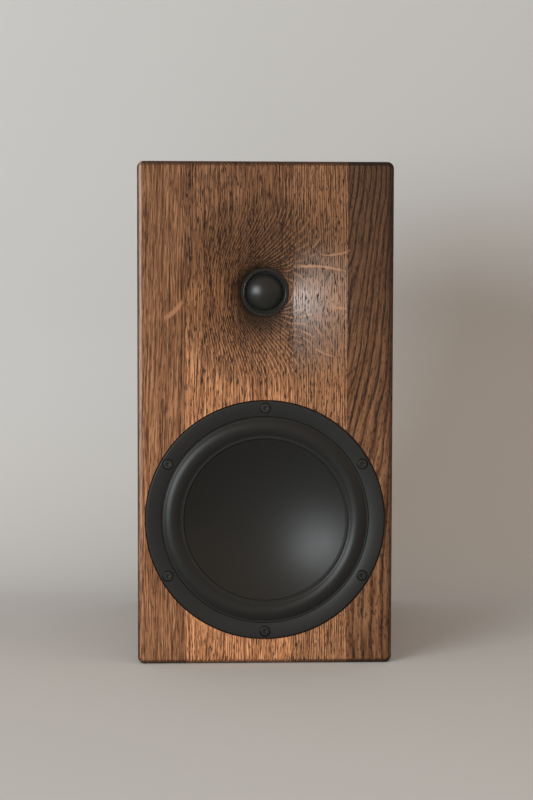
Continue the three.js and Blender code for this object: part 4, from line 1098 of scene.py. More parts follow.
@dataclass(frozen=True)
class GluedOak(Wooden):
    """Oak staves glued edge to edge, each from another tree. Pairs say where a step starts and is full."""

    staves: tuple[Stave, ...] = STAVES
    flecks: tuple[Fleck, ...] = FLECKS
    throat_shade: tuple[ThroatShade, ...] = THROAT_SHADE
    width: float = 190.0
    front: float = -139.3
    level: float = 260.0
    fan_reach: float = 120.0
    spacing: float = 137.0
    tone_rise: Point = (120.0, 345.0)
    rounding: Point = (6.0, 2.5)
    right_rim: Point = (86.0, 94.0)
    # Painted shade on the rounded edges: where it starts and is full on each side, how much stronger it is on
    # the left, and how dark it is.
    left_rim: Point = (-93.2, -94.0)
    left_rim_weight: float = 1.4
    painted_rim_shade: float = 0.48
    # A painted highlight along the left rounded edge, fading out towards the bottom, with a stronger coat on
    # the same strip.
    highlight_strip_inside: Point = (-91.0, -92.2)
    highlight_strip_outside: Point = (-94.2, -93.4)
    highlight_strip_rise: Point = (10.0, 200.0)
    highlight_strip_colour: float = 0.28
    highlight_strip_coat: float = 0.5
    polish: Point = (38.0, 265.0)
    polish_reach: Point = (58.0, 32.0)
    fleck_strength: float = 0.7
    glue_strength: float = 0.45
    glue_line: Point = (0.3, 0.08)

    def table(self, nodes: Tree, x: Link, key: str, scale: float = 1.0, offset: float = 0.0) -> Link:
        """A value that jumps from stave to stave.

        Args:
            nodes: the material's nodes.
            x: the place across the baffle.
            key: which of the staves' values it is.
            scale: what the value is divided by to lie between 0 and 1.
            offset: what is added first.

        Returns:
            The value.
        """
        share = nodes.affine(x, 1 / self.width, 0.5)
        stops = []
        for stave in self.staves:
            grey = (getattr(stave, key) + offset) / scale
            stops.append((stave.left / self.width + 0.5, (grey, grey, grey, 1)))
        return nodes.affine(nodes.ramp(share, stops, "CONSTANT"), scale, -offset)

    def ribbons(self, nodes: Tree, where: Link) -> Link:
        """Masks all the wide ribbons.

        Args:
            nodes: the material's nodes.
            where: the place, in millimetres.

        Returns:
            The mask.
        """
        mask = None
        for fleck in self.flecks:
            turn = math.radians(fleck.turn)
            one = nodes.group("fleck", {
                "Position": where, "Centre": (fleck.x, self.front, fleck.z),
                "Along": (math.cos(turn), 0, math.sin(turn)), "Square": (-math.sin(turn), 0, math.cos(turn)),
                "Length": fleck.length, "Width": fleck.width, "Bend": fleck.bend,
            }).outputs["Mask"]
            mask = nodes.math("MAXIMUM", mask, one) if mask else one
        return mask

    def seams(self, nodes: Tree, x: Link) -> Link:
        """Masks the glue lines between the staves.

        Args:
            nodes: the material's nodes.
            x: the place across the baffle.

        Returns:
            The mask.
        """
        mask = None
        for stave in self.staves[1:]:
            distance = nodes.math("ABSOLUTE", nodes.math("SUBTRACT", x, stave.left))
            line = nodes.step(distance, *self.glue_line)
            mask = nodes.math("MAXIMUM", mask, line) if mask else line
        return mask

    def distance(self, nodes: Tree, where: Link, centre: Point) -> Link:
        """How far a place is from a point of the baffle's face."""
        away = nodes.vector("SUBTRACT", where, (centre[0], 0, centre[1]))
        return nodes.length(nodes.vector("MULTIPLY", away, (1, 0, 1)))

    def bent(self, nodes: Tree, x: Link, z: Link) -> Link:
        """Straightens the grain where a stave's fibres lean or fan out.

        Args:
            nodes: the material's nodes.
            x: the place across the baffle.
            z: the place up the baffle.

        Returns:
            The straightened place across.
        """
        beyond = nodes.math("SUBTRACT", x, self.staves[-1].left)
        lean = nodes.math("SUBTRACT", self.table(nodes, x, "drift", 1.0, 0.5),
                          nodes.times(self.table(nodes, x, "fan", 0.01), beyond))
        rise = nodes.math("MAXIMUM", nodes.math("SUBTRACT", z, self.level), -self.fan_reach)
        return nodes.math("SUBTRACT", x, nodes.times(lean, rise))

    def tone(self, nodes: Tree, where: Link, rounded: Link) -> Link:
        """How light the oak is: each stave's own tone, painted shade in the horn's throat and painted shade
        on the rounded rims.

        Args:
            nodes: the material's nodes.
            where: the place, in millimetres.
            rounded: 1 where the edges are rounded.

        Returns:
            What the oak's colour is multiplied by.
        """
        x, _, z = nodes.separate(where)
        tone = nodes.mix(nodes.step(z, *self.tone_rise), self.table(nodes, x, "bottom", 2.0),
                         self.table(nodes, x, "top", 2.0))
        # Painted shade: darker patches round the horn's throat.
        for spot in self.throat_shade:
            dark = nodes.step(self.distance(nodes, where, (spot.x, spot.z)), spot.outside, spot.inside)
            tone = nodes.times(tone, nodes.affine(dark, -spot.strength, 1.0))
        # Painted shade on the rounded left and right edges.
        rims = nodes.affine(nodes.step(x, *self.left_rim), self.left_rim_weight,
                            nodes.step(x, *self.right_rim))
        shaded = nodes.times(rims, rounded)
        return nodes.times(tone, nodes.affine(shaded, -self.painted_rim_shade, 1.0))

    def highlight_strip(self, nodes: Tree, where: Link, rounded: Link) -> Link:
        """Masks the strip along the left rounded edge that takes a painted highlight and a stronger coat.

        Args:
            nodes: the material's nodes.
            where: the place, in millimetres.
            rounded: 1 where the edges are rounded.

        Returns:
            The mask.
        """
        x, _, z = nodes.separate(where)
        across = nodes.times(nodes.step(x, *self.highlight_strip_inside), nodes.step(x, *self.highlight_strip_outside))
        return nodes.times(across, nodes.times(nodes.step(z, *self.highlight_strip_rise), rounded))

    def fill(self, nodes: Tree) -> None:
        """Adds the nodes of the staves and of the glue lines between them.

        Args:
            nodes: the material's nodes.
        """
        where = nodes.place()
        x, y, z = nodes.separate(where)
        rays = self.table(nodes, x, "ray_lean", 6.0)
        depth = nodes.math("SUBTRACT", y, self.front)
        along = nodes.math("ADD", z, nodes.times(rays, self.spacing))
        oak = nodes.group("solid_oak", {
            "Position": nodes.combine(self.bent(nodes, x, z), depth, along),
            "Ring Lean": self.table(nodes, x, "ring_lean", 8.0),
            "Ring Pitch": self.table(nodes, x, "ring_pitch", 6.0),
            "Ray Lean": rays,
            "Pore Length": self.table(nodes, x, "pore_length", 20.0),
            "Contrast": self.table(nodes, x, "contrast", 4.0),
            "End Grain": nodes.end_grain(),
            **{key.title(): self.table(nodes, x, key) for key in PLAIN_KEYS},
        })
        rounded = nodes.step(depth, *self.rounding)
        highlight_strip = self.highlight_strip(nodes, where, rounded)
        colour = nodes.shade(oak.outputs["Color"], self.tone(nodes, where, rounded))
        # Pale flecks, dark glue lines, and the painted highlight along the left edge.
        for mask, strength, other in (
            (self.ribbons(nodes, where), self.fleck_strength, OAK_FLECK),
            (self.seams(nodes, x), self.glue_strength, OAK_PORE),
            (highlight_strip, self.highlight_strip_colour, OAK_PAINTED_HIGHLIGHT),
        ):
            colour = nodes.mix(nodes.times(mask, strength), colour, other)
        shader = nodes.surface(colour, oak.outputs["Roughness"], oak.outputs["Height"], OAK_RELIEF,
                               IOR=OAK_IOR, Specular_IOR_Level=0.22, Coat_Roughness=0.37)
        bowl = nodes.step(self.distance(nodes, where, self.polish), *self.polish_reach)
        closed = nodes.step(oak.outputs["Height"], 0.05, 0.5)
        coat = nodes.times(nodes.times(bowl, self.table(nodes, x, "coat")), closed)
        coat = nodes.math("MAXIMUM", coat, nodes.times(highlight_strip, self.highlight_strip_coat))
        nodes.tree.links.new(coat, shader.inputs["Coat Weight"])


@dataclass(frozen=True)
class BoardOak(Wooden):
    """One wide oak board."""

    ring_lean: float = 1.2
    ring_pitch: float = 2.4
    rings: float = 0.6
    rays: float = 0.5
    drift: float = 0.04
    along: float = 0.0
    tone: float = 0.75
    tone_range: float = 0.2

    def fill(self, nodes: Tree) -> None:
        """Adds the nodes of the board.

        Args:
            nodes: the material's nodes.
        """
        turned = nodes.add("ShaderNodeMapping", {"Vector": nodes.place(), "Rotation": self.fibre.value})
        x, y, z = nodes.separate(turned.outputs[0])
        own_x = nodes.math("SUBTRACT", x, nodes.times(z, self.drift))
        oak = nodes.group("solid_oak", {
            "Position": nodes.combine(own_x, y, nodes.math("ADD", z, self.along)),
            "Ring Lean": self.ring_lean, "Ring Pitch": self.ring_pitch, "Regular": 0.5,
            "Rings": self.rings, "Ray Lean": -1 / self.ring_lean, "Rays": self.rays, "Pores": 0.8,
            "Contrast": 1.2, "Gloss": 0.48, "End Grain": nodes.end_grain(),
        })
        slow = nodes.noise(nodes.place(), scale=0.01)
        tone = nodes.affine(slow, self.tone_range, self.tone - self.tone_range / 2)
        nodes.surface(nodes.shade(oak.outputs["Color"], tone), oak.outputs["Roughness"],
                      oak.outputs["Height"], OAK_RELIEF, IOR=OAK_IOR, Specular_IOR_Level=0.3)


@dataclass(frozen=True)
class Coated(Finish):
    """A plastic, rubber, paint or metal surface with a fine grain and a slow variation."""

    colour: Colour = (0.02, 0.02, 0.02, 1)
    roughness: float = 0.45
    metallic: float = 0.0
    grain: float = 0.3
    relief: float = 0.01
    unevenness: float = 0.15
    dust: float = 0.0
    specular: float = 0.5
    sheen: float = 0.0

    def fill(self, nodes: Tree) -> None:
        """Adds the nodes of the coat.

        Args:
            nodes: the material's nodes.
        """
        where = nodes.place()
        speckle = nodes.group("speckle", {"Position": where, "Size": self.grain})
        slow = speckle.outputs["Variation"]
        fine = speckle.outputs["Height"]
        strength = nodes.affine(nodes.math("ADD", slow, fine), self.unevenness, 1 - self.unevenness)
        colour = nodes.shade(self.colour[:3], strength)
        dust = nodes.group("dust", {"Position": where, "Amount": self.dust}).outputs["Mask"]
        colour = nodes.mix(dust, colour, DUST_COLOUR)
        rough = nodes.math("ADD", nodes.affine(slow, self.unevenness, self.roughness),
                           nodes.affine(dust, 0.3, -self.unevenness / 2))
        nodes.surface(colour, rough, fine, self.relief, Metallic=self.metallic,
                      Specular_IOR_Level=self.specular, Sheen_Weight=self.sheen)


@dataclass(frozen=True)
class DomeCloth(Finish):
    """Coated silk: a fine weave under a satin coat."""

    pitch: float = 0.28

    def fill(self, nodes: Tree) -> None:
        """Adds the nodes of the weave.

        Args:
            nodes: the material's nodes.
        """
        where = nodes.place()
        x, _, z = nodes.separate(where)
        warp = nodes.math("SINE", nodes.times(x, 2 * math.pi / self.pitch))
        weft = nodes.math("SINE", nodes.times(z, 2 * math.pi / self.pitch))
        weave = nodes.affine(nodes.times(warp, weft), 0.5, 0.5)
        slow = nodes.noise(where, scale=0.12)
        colour = nodes.ramp(nodes.affine(weave, 0.4, nodes.times(slow, 0.5)),
                            ((0.0, srgb(20, 21, 19)), (1.0, srgb(31, 32, 29))))
        nodes.surface(colour, nodes.affine(slow, 0.1, 0.26), weave, 0.008,
                      Sheen_Weight=0.05, IOR=1.5, Specular_IOR_Level=0.35)


@dataclass(frozen=True)
class Wound(Finish):
    """Fine wire wound round an axis, seen as close rings."""

    axis: int = 1
    pitch: float = 0.9
    colour: Colour = srgb(176, 98, 52)

    def fill(self, nodes: Tree) -> None:
        """Adds the nodes of the winding.

        Args:
            nodes: the material's nodes.
        """
        along = nodes.separate(nodes.place())[self.axis]
        turn = nodes.math("SINE", nodes.times(along, 2 * math.pi / self.pitch))
        colour = nodes.shade(self.colour[:3], nodes.affine(turn, 0.2, 0.8))
        nodes.surface(colour, nodes.affine(turn, -0.08, 0.35), turn, 0.1, Metallic=0.9)


@dataclass(frozen=True)
class Fibrous(Finish):
    """Felt, foam or woven cloth."""

    colour: Colour = srgb(80, 80, 84)
    hair: float = 0.8

    def fill(self, nodes: Tree) -> None:
        """Adds the nodes of the fibres.

        Args:
            nodes: the material's nodes.
        """
        where = nodes.place()
        hairs = nodes.noise(where, scale=1 / self.hair, detail=4, roughness=0.7)
        lumps = nodes.noise(where, scale=0.08)
        tone = nodes.affine(hairs, 0.9, nodes.affine(lumps, 0.5, 0.3))
        nodes.surface(nodes.shade(self.colour[:3], tone), 0.92, hairs, 0.4, Sheen_Weight=0.3)


@dataclass(frozen=True)
class Plywood(Finish):
    """Birch plywood: veneers whose fibres cross, seen as layers on the edge."""

    veneer: float = 1.5

    def fill(self, nodes: Tree) -> None:
        """Adds the nodes of the veneers.

        Args:
            nodes: the material's nodes.
        """
        x, y, z = nodes.separate(nodes.place())
        layer = nodes.math("FLOORED_MODULO", nodes.times(z, 1 / self.veneer), 2.0)
        other = nodes.step(layer, 0.98, 1.02)
        grain = nodes.noise(nodes.combine(nodes.times(x, 0.9), nodes.times(y, 0.03),
                                          nodes.times(z, 0.5)), detail=3)
        tone = nodes.affine(other, 0.35, nodes.times(grain, 0.6))
        colour = nodes.ramp(tone, ((0.0, srgb(206, 176, 136)), (1.0, srgb(142, 106, 70))))
        nodes.surface(colour, 0.6, grain, 0.08)


BAFFLE_OAK = GluedOak("oak_baffle", "oak")
SIDE_OAK = BoardOak("oak_side", "oak", Fibre.UP_ON_A_SIDE, ring_lean=1.6, rings=0.7, drift=0.05)
TOP_OAK = BoardOak("oak_top", "oak", Fibre.ACROSS_ON_TOP, ring_lean=1.1, rings=0.65, drift=0.03, along=300)
REAR_OAK = BoardOak("oak_rear", "oak", Fibre.UP, ring_lean=0.6, rings=0.6, drift=0.02, along=700)
CAST_BLACK = Coated("cast_black", "black_casting", srgb(29, 30, 30), 0.42, grain=0.22, relief=0.006,
                    unevenness=0.12, dust=0.12, specular=0.3)
CONE_BLACK = Coated("cone_black", "cone_black", srgb(21, 22, 21), 0.44, grain=0.5, relief=0.004,
                    unevenness=0.06, dust=0.1, specular=0.37)
ROLL_RUBBER = Coated("roll_rubber", "roll_rubber", srgb(25, 26, 25), 0.4, grain=0.6, relief=0.004,
                     unevenness=0.08, dust=0.1, specular=0.3)
THROAT_BLACK = Coated("throat_black", "tweeter_black", srgb(15, 15, 15), 0.24, grain=0.3, relief=0.003,
                      specular=0.56)
DOME_CLOTH = DomeCloth("dome_cloth", "dome_cloth")
DOME_ROLL = Coated("dome_roll", "roll_rubber", srgb(38, 39, 37), 0.8, grain=0.3, relief=0.003, specular=0.1)
SCREW_BLACK = Coated("screw_black", "black_screws", srgb(42, 42, 41), 0.36, metallic=0.5, grain=0.25,
                     relief=0.006)
MOULDED_BLACK = Coated("moulded_black", "black_moulding", srgb(34, 34, 34), 0.46, grain=0.35,
                       relief=0.02, dust=0.15)
KNOB_BLACK = Coated("knob_black", "black_plastic", srgb(28, 28, 28), 0.22, grain=0.8, relief=0.003)
KNOB_RED = Coated("knob_red", "red_plastic", srgb(150, 24, 20), 0.22, grain=0.8, relief=0.003)
GOLD = Coated("gold_plate", "gold_plate", srgb(214, 168, 92), 0.22, metallic=1.0, grain=0.4, relief=0.004)
STEEL = Coated("zinc_steel", "zinc_steel", srgb(176, 178, 180), 0.35, metallic=1.0, grain=0.6, relief=0.01)
ALUMINIUM = Coated("coil_aluminium", "coil_former", srgb(196, 197, 198), 0.35, metallic=1.0)
FERRITE = Coated("ferrite", "ferrite", srgb(62, 62, 65), 0.6, grain=0.5, relief=0.02)
CEMENT = Coated("cement", "cement", srgb(214, 212, 204), 0.85, grain=0.5, relief=0.05)
FILM = Coated("capacitor_film", "capacitor_film", srgb(42, 74, 112), 0.3, grain=1.5, relief=0.01)
SLEEVE = Coated("lead_sleeve", "lead_sleeve", srgb(136, 36, 32), 0.5, grain=0.5)
FELT = Fibrous("felt", "felt", srgb(84, 84, 88))
FOAM = Fibrous("gasket_foam", "gasket_foam", srgb(46, 46, 46), hair=0.4)
SPIDER_CLOTH = Fibrous("spider_cloth", "spider_cloth", srgb(178, 150, 88), hair=0.35)
COIL_WIRE = Wound("copper_wire", "copper_wire", axis=1, pitch=0.5)
CHOKE_WIRE = Wound("choke_wire", "copper_wire", axis=2, pitch=1.1)
PLYWOOD = Plywood("birch_plywood", "plywood")


@dataclass(frozen=True)
class Bend:
    """How a soft ring bends between its fixed outer edge and its moving inner edge."""

    moving: str
    centre: Vector
    inner: float
    outer: float

    def share(self, point: Vector) -> float:
        """Works out how far a point goes with the moving body.

        Args:
            point: the point, in millimetres.

        Returns:
            The share, from 0 to 1.
        """
        away = point - self.centre
        share = (self.outer - math.hypot(away.x, away.z)) / (self.outer - self.inner)
        share = min(max(share, 0.0), 1.0)
        return share * share * (3 - 2 * share)

    def hold(self, piece: Piece) -> None:
        """Ties a piece to both bodies, with weights that change with the radius alone.

        Args:
            piece: the piece.
        """
        along = Vector((1, 0, 0))
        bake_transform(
            piece, CABINET_BODY, self.moving, start=(self.centre + self.outer * along) * MM,
            end=(self.centre + self.inner * along) * MM,
        )
        weights = piece.data.attributes["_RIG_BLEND"]
        for vertex, weight in zip(piece.data.vertices, weights.data):
            weight.value = self.share(vertex.co / MM)


def finish_piece(shape: Shape, name: str, finish: Finish, nodes: Sequence[str],
                 holds: str | Bend = CABINET_BODY, angle: float = 32) -> Piece:
    """Makes a piece from a shape, dresses it and ties it to its body.

    Args:
        shape: the shape, which is used up.
        name: the piece's name.
        finish: what it wears.
        nodes: the frame nodes that it stands for.
        holds: the body that it rides on, or how it bends between two.
        angle: the angle at which its edges turn hard, in degrees.

    Returns:
        The piece.
    """
    piece = shape.object(name)
    smooth(piece, angle)
    finish.wear(piece)
    if isinstance(holds, Bend):
        holds.hold(piece)
    else:
        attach(piece, holds)
    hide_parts(*nodes)
    return piece


@dataclass
class Part:
    """One part of the loudspeaker: it builds its shapes, then dresses them as pieces."""

    shapes: dict[str, Shape] = field(default_factory=dict)

    def build(self) -> None:
        """Builds the part's shapes."""

    def dress(self) -> list[Piece]:
        """Dresses the part's pieces."""
        raise NotImplementedError


# ---- Cabinet ----


@dataclass
class Cabinet(Part):
    """The oak cabinet: a thick baffle with the horn carved in it, four mitred panels and a back."""

    edge_round: float = 3.5
    corner: float = 5.0
    panel: float = 18.0
    mitre_line: float = 0.12
    horn_mouth: float = 74.0
    horn_blend: float = 22.0
    horn_throat: float = 18.2
    horn_knee: Point = (4.5, 5.0)
    horn_depth: float = 14.0
    throat_land: float = 4.0
    pocket: float = 36.5
    well: float = 89.5
    well_depth: float = 6.0
    well_chamfer: float = 0.3
    woofer_hole: float = 76.5
    port_hole: float = 28.3
    port_lip: float = 43.3
    port_lip_depth: float = 3.3
    port_shoulder: float = 17.3
    cup_hole: tuple[float, float, float] = (89.6, 61.6, 9.5)
    sides: int = 224
    port_sides: int = 128
    horn_steps: int = 56

    def envelope(self) -> Shape:
        """Shapes the whole cabinet as one rounded block.

        Returns:
            The block.
        """
        lowest = low("front_baffle")
        highest = Vector((high("front_baffle").x, high("left_side_panel").y, high("front_baffle").z))
        block = Shape().block(lowest, highest).bevel(self.corner, 10, runs_along_y)
        for y in (lowest.y, highest.y):
            block.soften_rim(y, self.edge_round, 8)
        return block

    def horn(self) -> list[Point]:
        """Draws the horn's wall from its mouth to its throat, and on to the pocket behind it.

        Returns:
            The profile.
        """
        wall = bezier(
            (self.horn_throat, self.horn_depth),
            (self.horn_throat + self.horn_knee[0], self.horn_depth - self.horn_knee[1]),
            (self.horn_mouth - self.horn_blend, 0),
            (self.horn_mouth, 0), self.horn_steps,
        )
        land = self.horn_depth + self.throat_land
        thickness = high("front_baffle").y - low("front_baffle").y
        return wall[::-1] + [(self.horn_throat, land), (self.pocket, land), (self.pocket, thickness)]

    def woofer_well(self) -> list[Point]:
        """Draws the seat for the woofer's flange and the hole behind it.

        Returns:
            The profile.
        """
        thickness = high("front_baffle").y - low("front_baffle").y
        return [
            (self.well + self.well_chamfer, 0), (self.well, self.well_chamfer),
            (self.well, self.well_depth), (self.woofer_hole, self.well_depth),
            (self.woofer_hole, thickness),
        ]

    def build(self) -> None:
        """Builds the baffle, the four panels and the back."""
        self.build_baffle()
        self.build_panels()
        self.build_back()

    def build_baffle(self) -> None:
        """Builds the baffle."""
        front, back = low("front_baffle").y, high("front_baffle").y
        horn_centre = Vector((0, front, middle("tweeter_dome").z))
        woofer_centre = Vector((0, front, middle("woofer_cone").z))
        baffle = self.envelope().halve((0, back, 0), (0, 1, 0)).open_at(front).open_at(back)
        baffle.turn(self.horn(), horn_centre, self.sides, closed=False)
        baffle.turn(self.woofer_well(), woofer_centre, self.sides, closed=False)
        self.shapes["baffle"] = baffle.close_at(front).close_at(back)

    def build_panels(self) -> None:
        """Builds the two sides, the top and the bottom."""
        start = low("left_side_panel").y
        half, top = high("front_baffle").x, high("front_baffle").z
        inner = half - self.panel
        shell = self.envelope().halve((0, start, 0), (0, -1, 0))
        diagonal = 0.5 * self.mitre_line * math.sqrt(2)
        for side, name in ((-1, "left"), (1, "right")):
            panel = shell.copy().halve((side * inner, 0, 0), (-side, 0, 0))
            panel.halve((side * inner, 0, self.panel + diagonal), (-side, 0, -1))
            upper = (side * inner, 0, top - self.panel - diagonal)
            self.shapes[name] = panel.halve(upper, (-side, 0, 1))
        for edge, inwards, name in ((top, -1, "top"), (0, 1, "bottom")):
            level = edge + inwards * self.panel
            panel = shell.copy().halve((0, 0, level), (0, 0, inwards))
            for side in (-1, 1):
                panel.halve((side * (inner - diagonal), 0, level), (side, 0, inwards))
            self.shapes[name] = panel
        shell.bm.free()

    def build_back(self) -> None:
        """Builds the back, with the port's recess and the hole for the terminal cup."""
        lowest, highest = low("rear_panel"), high("rear_panel")
        thickness = highest.y - lowest.y
        port = Vector((0, highest.y, middle("bass_port").z))
        cup = Vector((0, highest.y, middle("terminal_cup").z))
        back = Shape().block(lowest, highest).open_at(lowest.y).open_at(highest.y)
        back.turn([
            (self.port_lip, 0), (self.port_lip, -self.port_lip_depth),
            (self.port_hole, -self.port_shoulder), (self.port_hole, -thickness),
        ], port, self.port_sides, closed=False)
        hole = Shape().plate(cup, self.cup_hole[0], self.cup_hole[1], -thickness, 0, self.cup_hole[2])
        back.add(hole.open_at(highest.y).open_at(lowest.y))
        hole.bm.free()
        self.shapes["back"] = back.close_at(highest.y).close_at(lowest.y)

    def dress(self) -> list[Piece]:
        """Dresses the six boards.

        Returns:
            The pieces.
        """
        boards = (
            ("baffle", BAFFLE_OAK, "front_baffle"), ("left", SIDE_OAK, "left_side_panel"),
            ("right", SIDE_OAK, "right_side_panel"), ("top", TOP_OAK, "top_panel"),
            ("bottom", TOP_OAK, "bottom_panel"), ("back", REAR_OAK, "rear_panel"),
        )
        return [
            finish_piece(self.shapes[name], f"oak_{name}", finish, [node])
            for name, finish, node in boards
        ]


# ---- Screws ----


@dataclass(frozen=True)
class SocketScrew:
    """A socket-head screw: its head, its shank, and its hexagonal socket from corner to middle."""

    head: float
    head_height: float
    head_round: float
    shank: float
    length: float
    socket: float
    socket_depth: float
    socket_cone: float = 0.4
    tip: float = 0.2

    def build(self, top: Vector) -> Shape:
        """Builds the screw, pointing backwards.

        Args:
            top: the middle of its head's face.

        Returns:
            The screw.
        """
        edge, deep = self.head_round, self.socket_depth
        screw = Shape().turn([
            (0, 0), *arc((self.head - edge, edge), edge, -90, 0, 5), (self.head, self.head_height),
            (self.shank, self.head_height), (self.shank, self.length - 2 * self.shank),
            (self.tip * self.shank, self.length), (0, self.length),
        ], top, SCREW_SIDES)
        bit = [(0, -1), (self.socket, -1), (self.socket, deep), (0, deep + self.socket_cone)]
        return screw.solid(Shape().turn(bit, top, 6))


# ---- Woofer ----


@dataclass
class Woofer(Part):
    """The woofer: a cast basket with a dished flange, a rubber roll and a dished black cone."""

    flange: float = 89.0
    flange_back: float = 4.2
    flange_proud: float = 0.4
    flange_dish: float = 1.8
    face_steps: int = 20
    rim_round: float = 0.8
    seat: float = 77.4
    lip_round: float = 0.35
    outer_land: float = 1.2
    land_top: float = 0.8
    land_back: float = 2.5
    roll_base: float = 1.2
    roll_rise: float = 2.6
    rubber: float = 0.9
    inner_land: float = 2.7
    bead: float = 0.7
    roll_foot: float = 0.4
    roll_edge: float = 0.3
    roll_ease: float = 0.3
    gap: float = 0.25
    cone: float = 60.3
    cone_front: float = 1.5
    cone_dish: float = 18.0
    cone_skin: float = 1.2
    cone_lip: float = 3.7
    neck: float = 76.0
    basket_wall: float = 3.0
    neck_length: float = 20.0
    spider_depth: float = 40.0
    plate: float = 50.0
    plate_back: float = 56.0
    plate_thickness: float = 4.0
    coil: float = 17.6
    spokes: int = 6
    spoke_width: float = 13.0
    spider_bore: float = 16.9
    spider_seat: float = 4.0
    spider_skin: float = 0.8
    spider_wave: float = 1.6
    spider_waves: int = 5
    wave_steps: int = 12
    screws: int = 6
    screw: SocketScrew = SocketScrew(head=3.6, head_height=2.2, head_round=0.45, shank=2.0, length=24.0,
                                     socket=1.55, socket_depth=1.5)
    head_room: float = 0.5
    hole_length: float = 12.0
    sides: int = 192
    hidden_sides: int = 96

    @property
    def centre(self) -> Vector:
        """The middle of the woofer, level with the baffle's front."""
        return Vector((0, low("front_baffle").y, middle("woofer_cone").z))

    def face(self, radius: float) -> float:
        """Follows the flange's dished face.

        Args:
            radius: the radius.

        Returns:
            How far the face lies behind the baffle's front.
        """
        rim = self.flange - self.rim_round
        share = (rim - radius) / (rim - self.seat)
        return self.flange_dish * share * share - self.flange_proud

    def build(self) -> None:
        """Builds the basket, the roll, the cone, the spider and the first of the screws."""
        self.build_basket()
        self.build_roll()
        self.build_cone()
        self.build_spider()
        self.shapes["screw"] = self.screw.build(front_of("woofer_screw_1"))

    def build_basket(self) -> None:
        """Builds the cast basket and cuts its windows and screw holes."""
        inner = self.neck - self.basket_wall
        spider = self.plate + self.spider_seat
        lip = self.seat + self.lip_round
        count, width = self.face_steps, self.flange - self.rim_round - lip
        face = [(r, self.face(r)) for r in (lip + width * i / count for i in range(count, -1, -1))]
        rim_centre = (self.flange - self.rim_round, self.rim_round - self.flange_proud)
        rim = arc(rim_centre, self.rim_round, 0, -90, 6)
        lip_edge = arc((lip, self.face(lip) + self.lip_round), self.lip_round, -90, -180, 5)
        seat_back = self.land_back + self.gap
        profile = [
            (self.flange, self.flange_back), *rim, *face[1:], *lip_edge[1:],
            (self.seat, seat_back), (inner, seat_back), (inner, self.neck_length),
            (spider, self.spider_depth), (self.plate, self.spider_depth),
            (self.plate - self.basket_wall, self.plate_back - self.plate_thickness),
            (self.coil + self.basket_wall, self.plate_back - self.plate_thickness),
            (self.coil + self.basket_wall, self.plate_back), (self.plate, self.plate_back),
            (spider + self.basket_wall, self.spider_depth + self.basket_wall),
            (self.neck, self.neck_length), (self.neck, self.flange_back),
        ]
        basket = Shape().turn(profile, self.centre, self.sides)
        basket.solid(self.windows()).solid(self.screw_holes())
        self.shapes["basket"] = basket

    def windows(self) -> Shape:
        """Shapes the openings between the basket's spokes.

        Returns:
            What is cut away.
        """
        front, back = self.neck_length, self.spider_depth - self.basket_wall
        inner = self.plate + self.spider_seat + self.basket_wall
        ring = Shape().turn([
            (inner, front), (self.flange, front), (self.flange, back), (inner, back),
        ], self.centre, self.hidden_sides)
        half = self.spoke_width / 2
        lowest = self.centre + Vector((-half, front - SPARE, 0))
        highest = self.centre + Vector((half, back + SPARE, self.flange + SPARE))
        spoke = Shape().block(lowest, highest)
        return ring.solid(round_about(spoke, self.centre, self.spokes, 180 / self.spokes))

    def screw_holes(self) -> Shape:
        """Shapes the counterbored holes in the flange.

        Returns:
            What is cut away.
        """
        seat = low("woofer_screw_1").y - self.centre.y + self.screw.head_height + self.gap
        hole, bore = self.screw.head + self.head_room, self.screw.shank + self.gap
        end = self.hole_length
        profile = [(0, -SPARE), (hole, -SPARE), (hole, seat), (bore, seat), (bore, end), (0, end)]
        place = Vector((0, self.centre.y, middle("woofer_screw_1").z))
        return round_about(Shape().turn(profile, place, SCREW_SIDES), self.centre, self.screws)

    def build_roll(self) -> None:
        """Builds the rubber half roll with the lands on both its sides."""
        outer = self.seat - self.gap
        inner = self.cone + self.gap
        hub, radius, spread = ridge(inner + self.inner_land, outer - self.outer_land, self.roll_base,
                                    self.roll_rise)
        crest = arc(hub, radius, spread - 90, -spread - 90, 36)
        bead = arc((inner + self.bead, self.roll_base + self.bead), self.bead, -90, -180, 6)
        foot = (inner + self.bead + self.roll_foot, self.roll_base)
        shoulder = outer - self.roll_edge
        front = [*eased([(shoulder, self.land_top), *crest, foot], self.roll_ease, 6), *bead]
        back = arc(hub, radius - self.rubber, -spread - 90, spread - 90, 24)
        edge = arc((shoulder, self.land_top + self.roll_edge), self.roll_edge, 0, -90, 4)
        profile = [
            *edge, *front[1:], (inner, self.land_back),
            (back[0][0], self.land_back), *back, (back[-1][0], self.land_back), (outer, self.land_back),
        ]
        self.shapes["roll"] = Shape().turn(profile, self.centre, self.sides)

    def build_cone(self) -> None:
        """Builds the cone, which has no dust cap, and the lip that carries the roll."""
        lip_front = self.land_back + self.gap
        front = cap(self.cone, self.cone_front, -self.cone_dish, 60)
        rim = self.cone - self.cone_skin
        back_rim = lip_front + self.cone_skin
        back = cap(rim, back_rim, -(self.cone_front + self.cone_dish + self.cone_skin - back_rim), 40)
        lip = self.cone + self.cone_lip
        profile = [*front, (self.cone, lip_front), (lip, lip_front), (lip, back_rim), *back[::-1]]
        self.shapes["cone"] = Shape().turn(profile, self.centre, self.sides)

    def build_spider(self) -> None:
        """Builds the corrugated disc that keeps the coil in the middle."""
        inner = self.spider_bore
        outer = self.plate + self.spider_seat - self.gap
        flat = outer - self.spider_seat
        seat = self.spider_depth - self.gap
        level = seat - self.spider_skin - self.spider_wave
        count = self.spider_waves * self.wave_steps

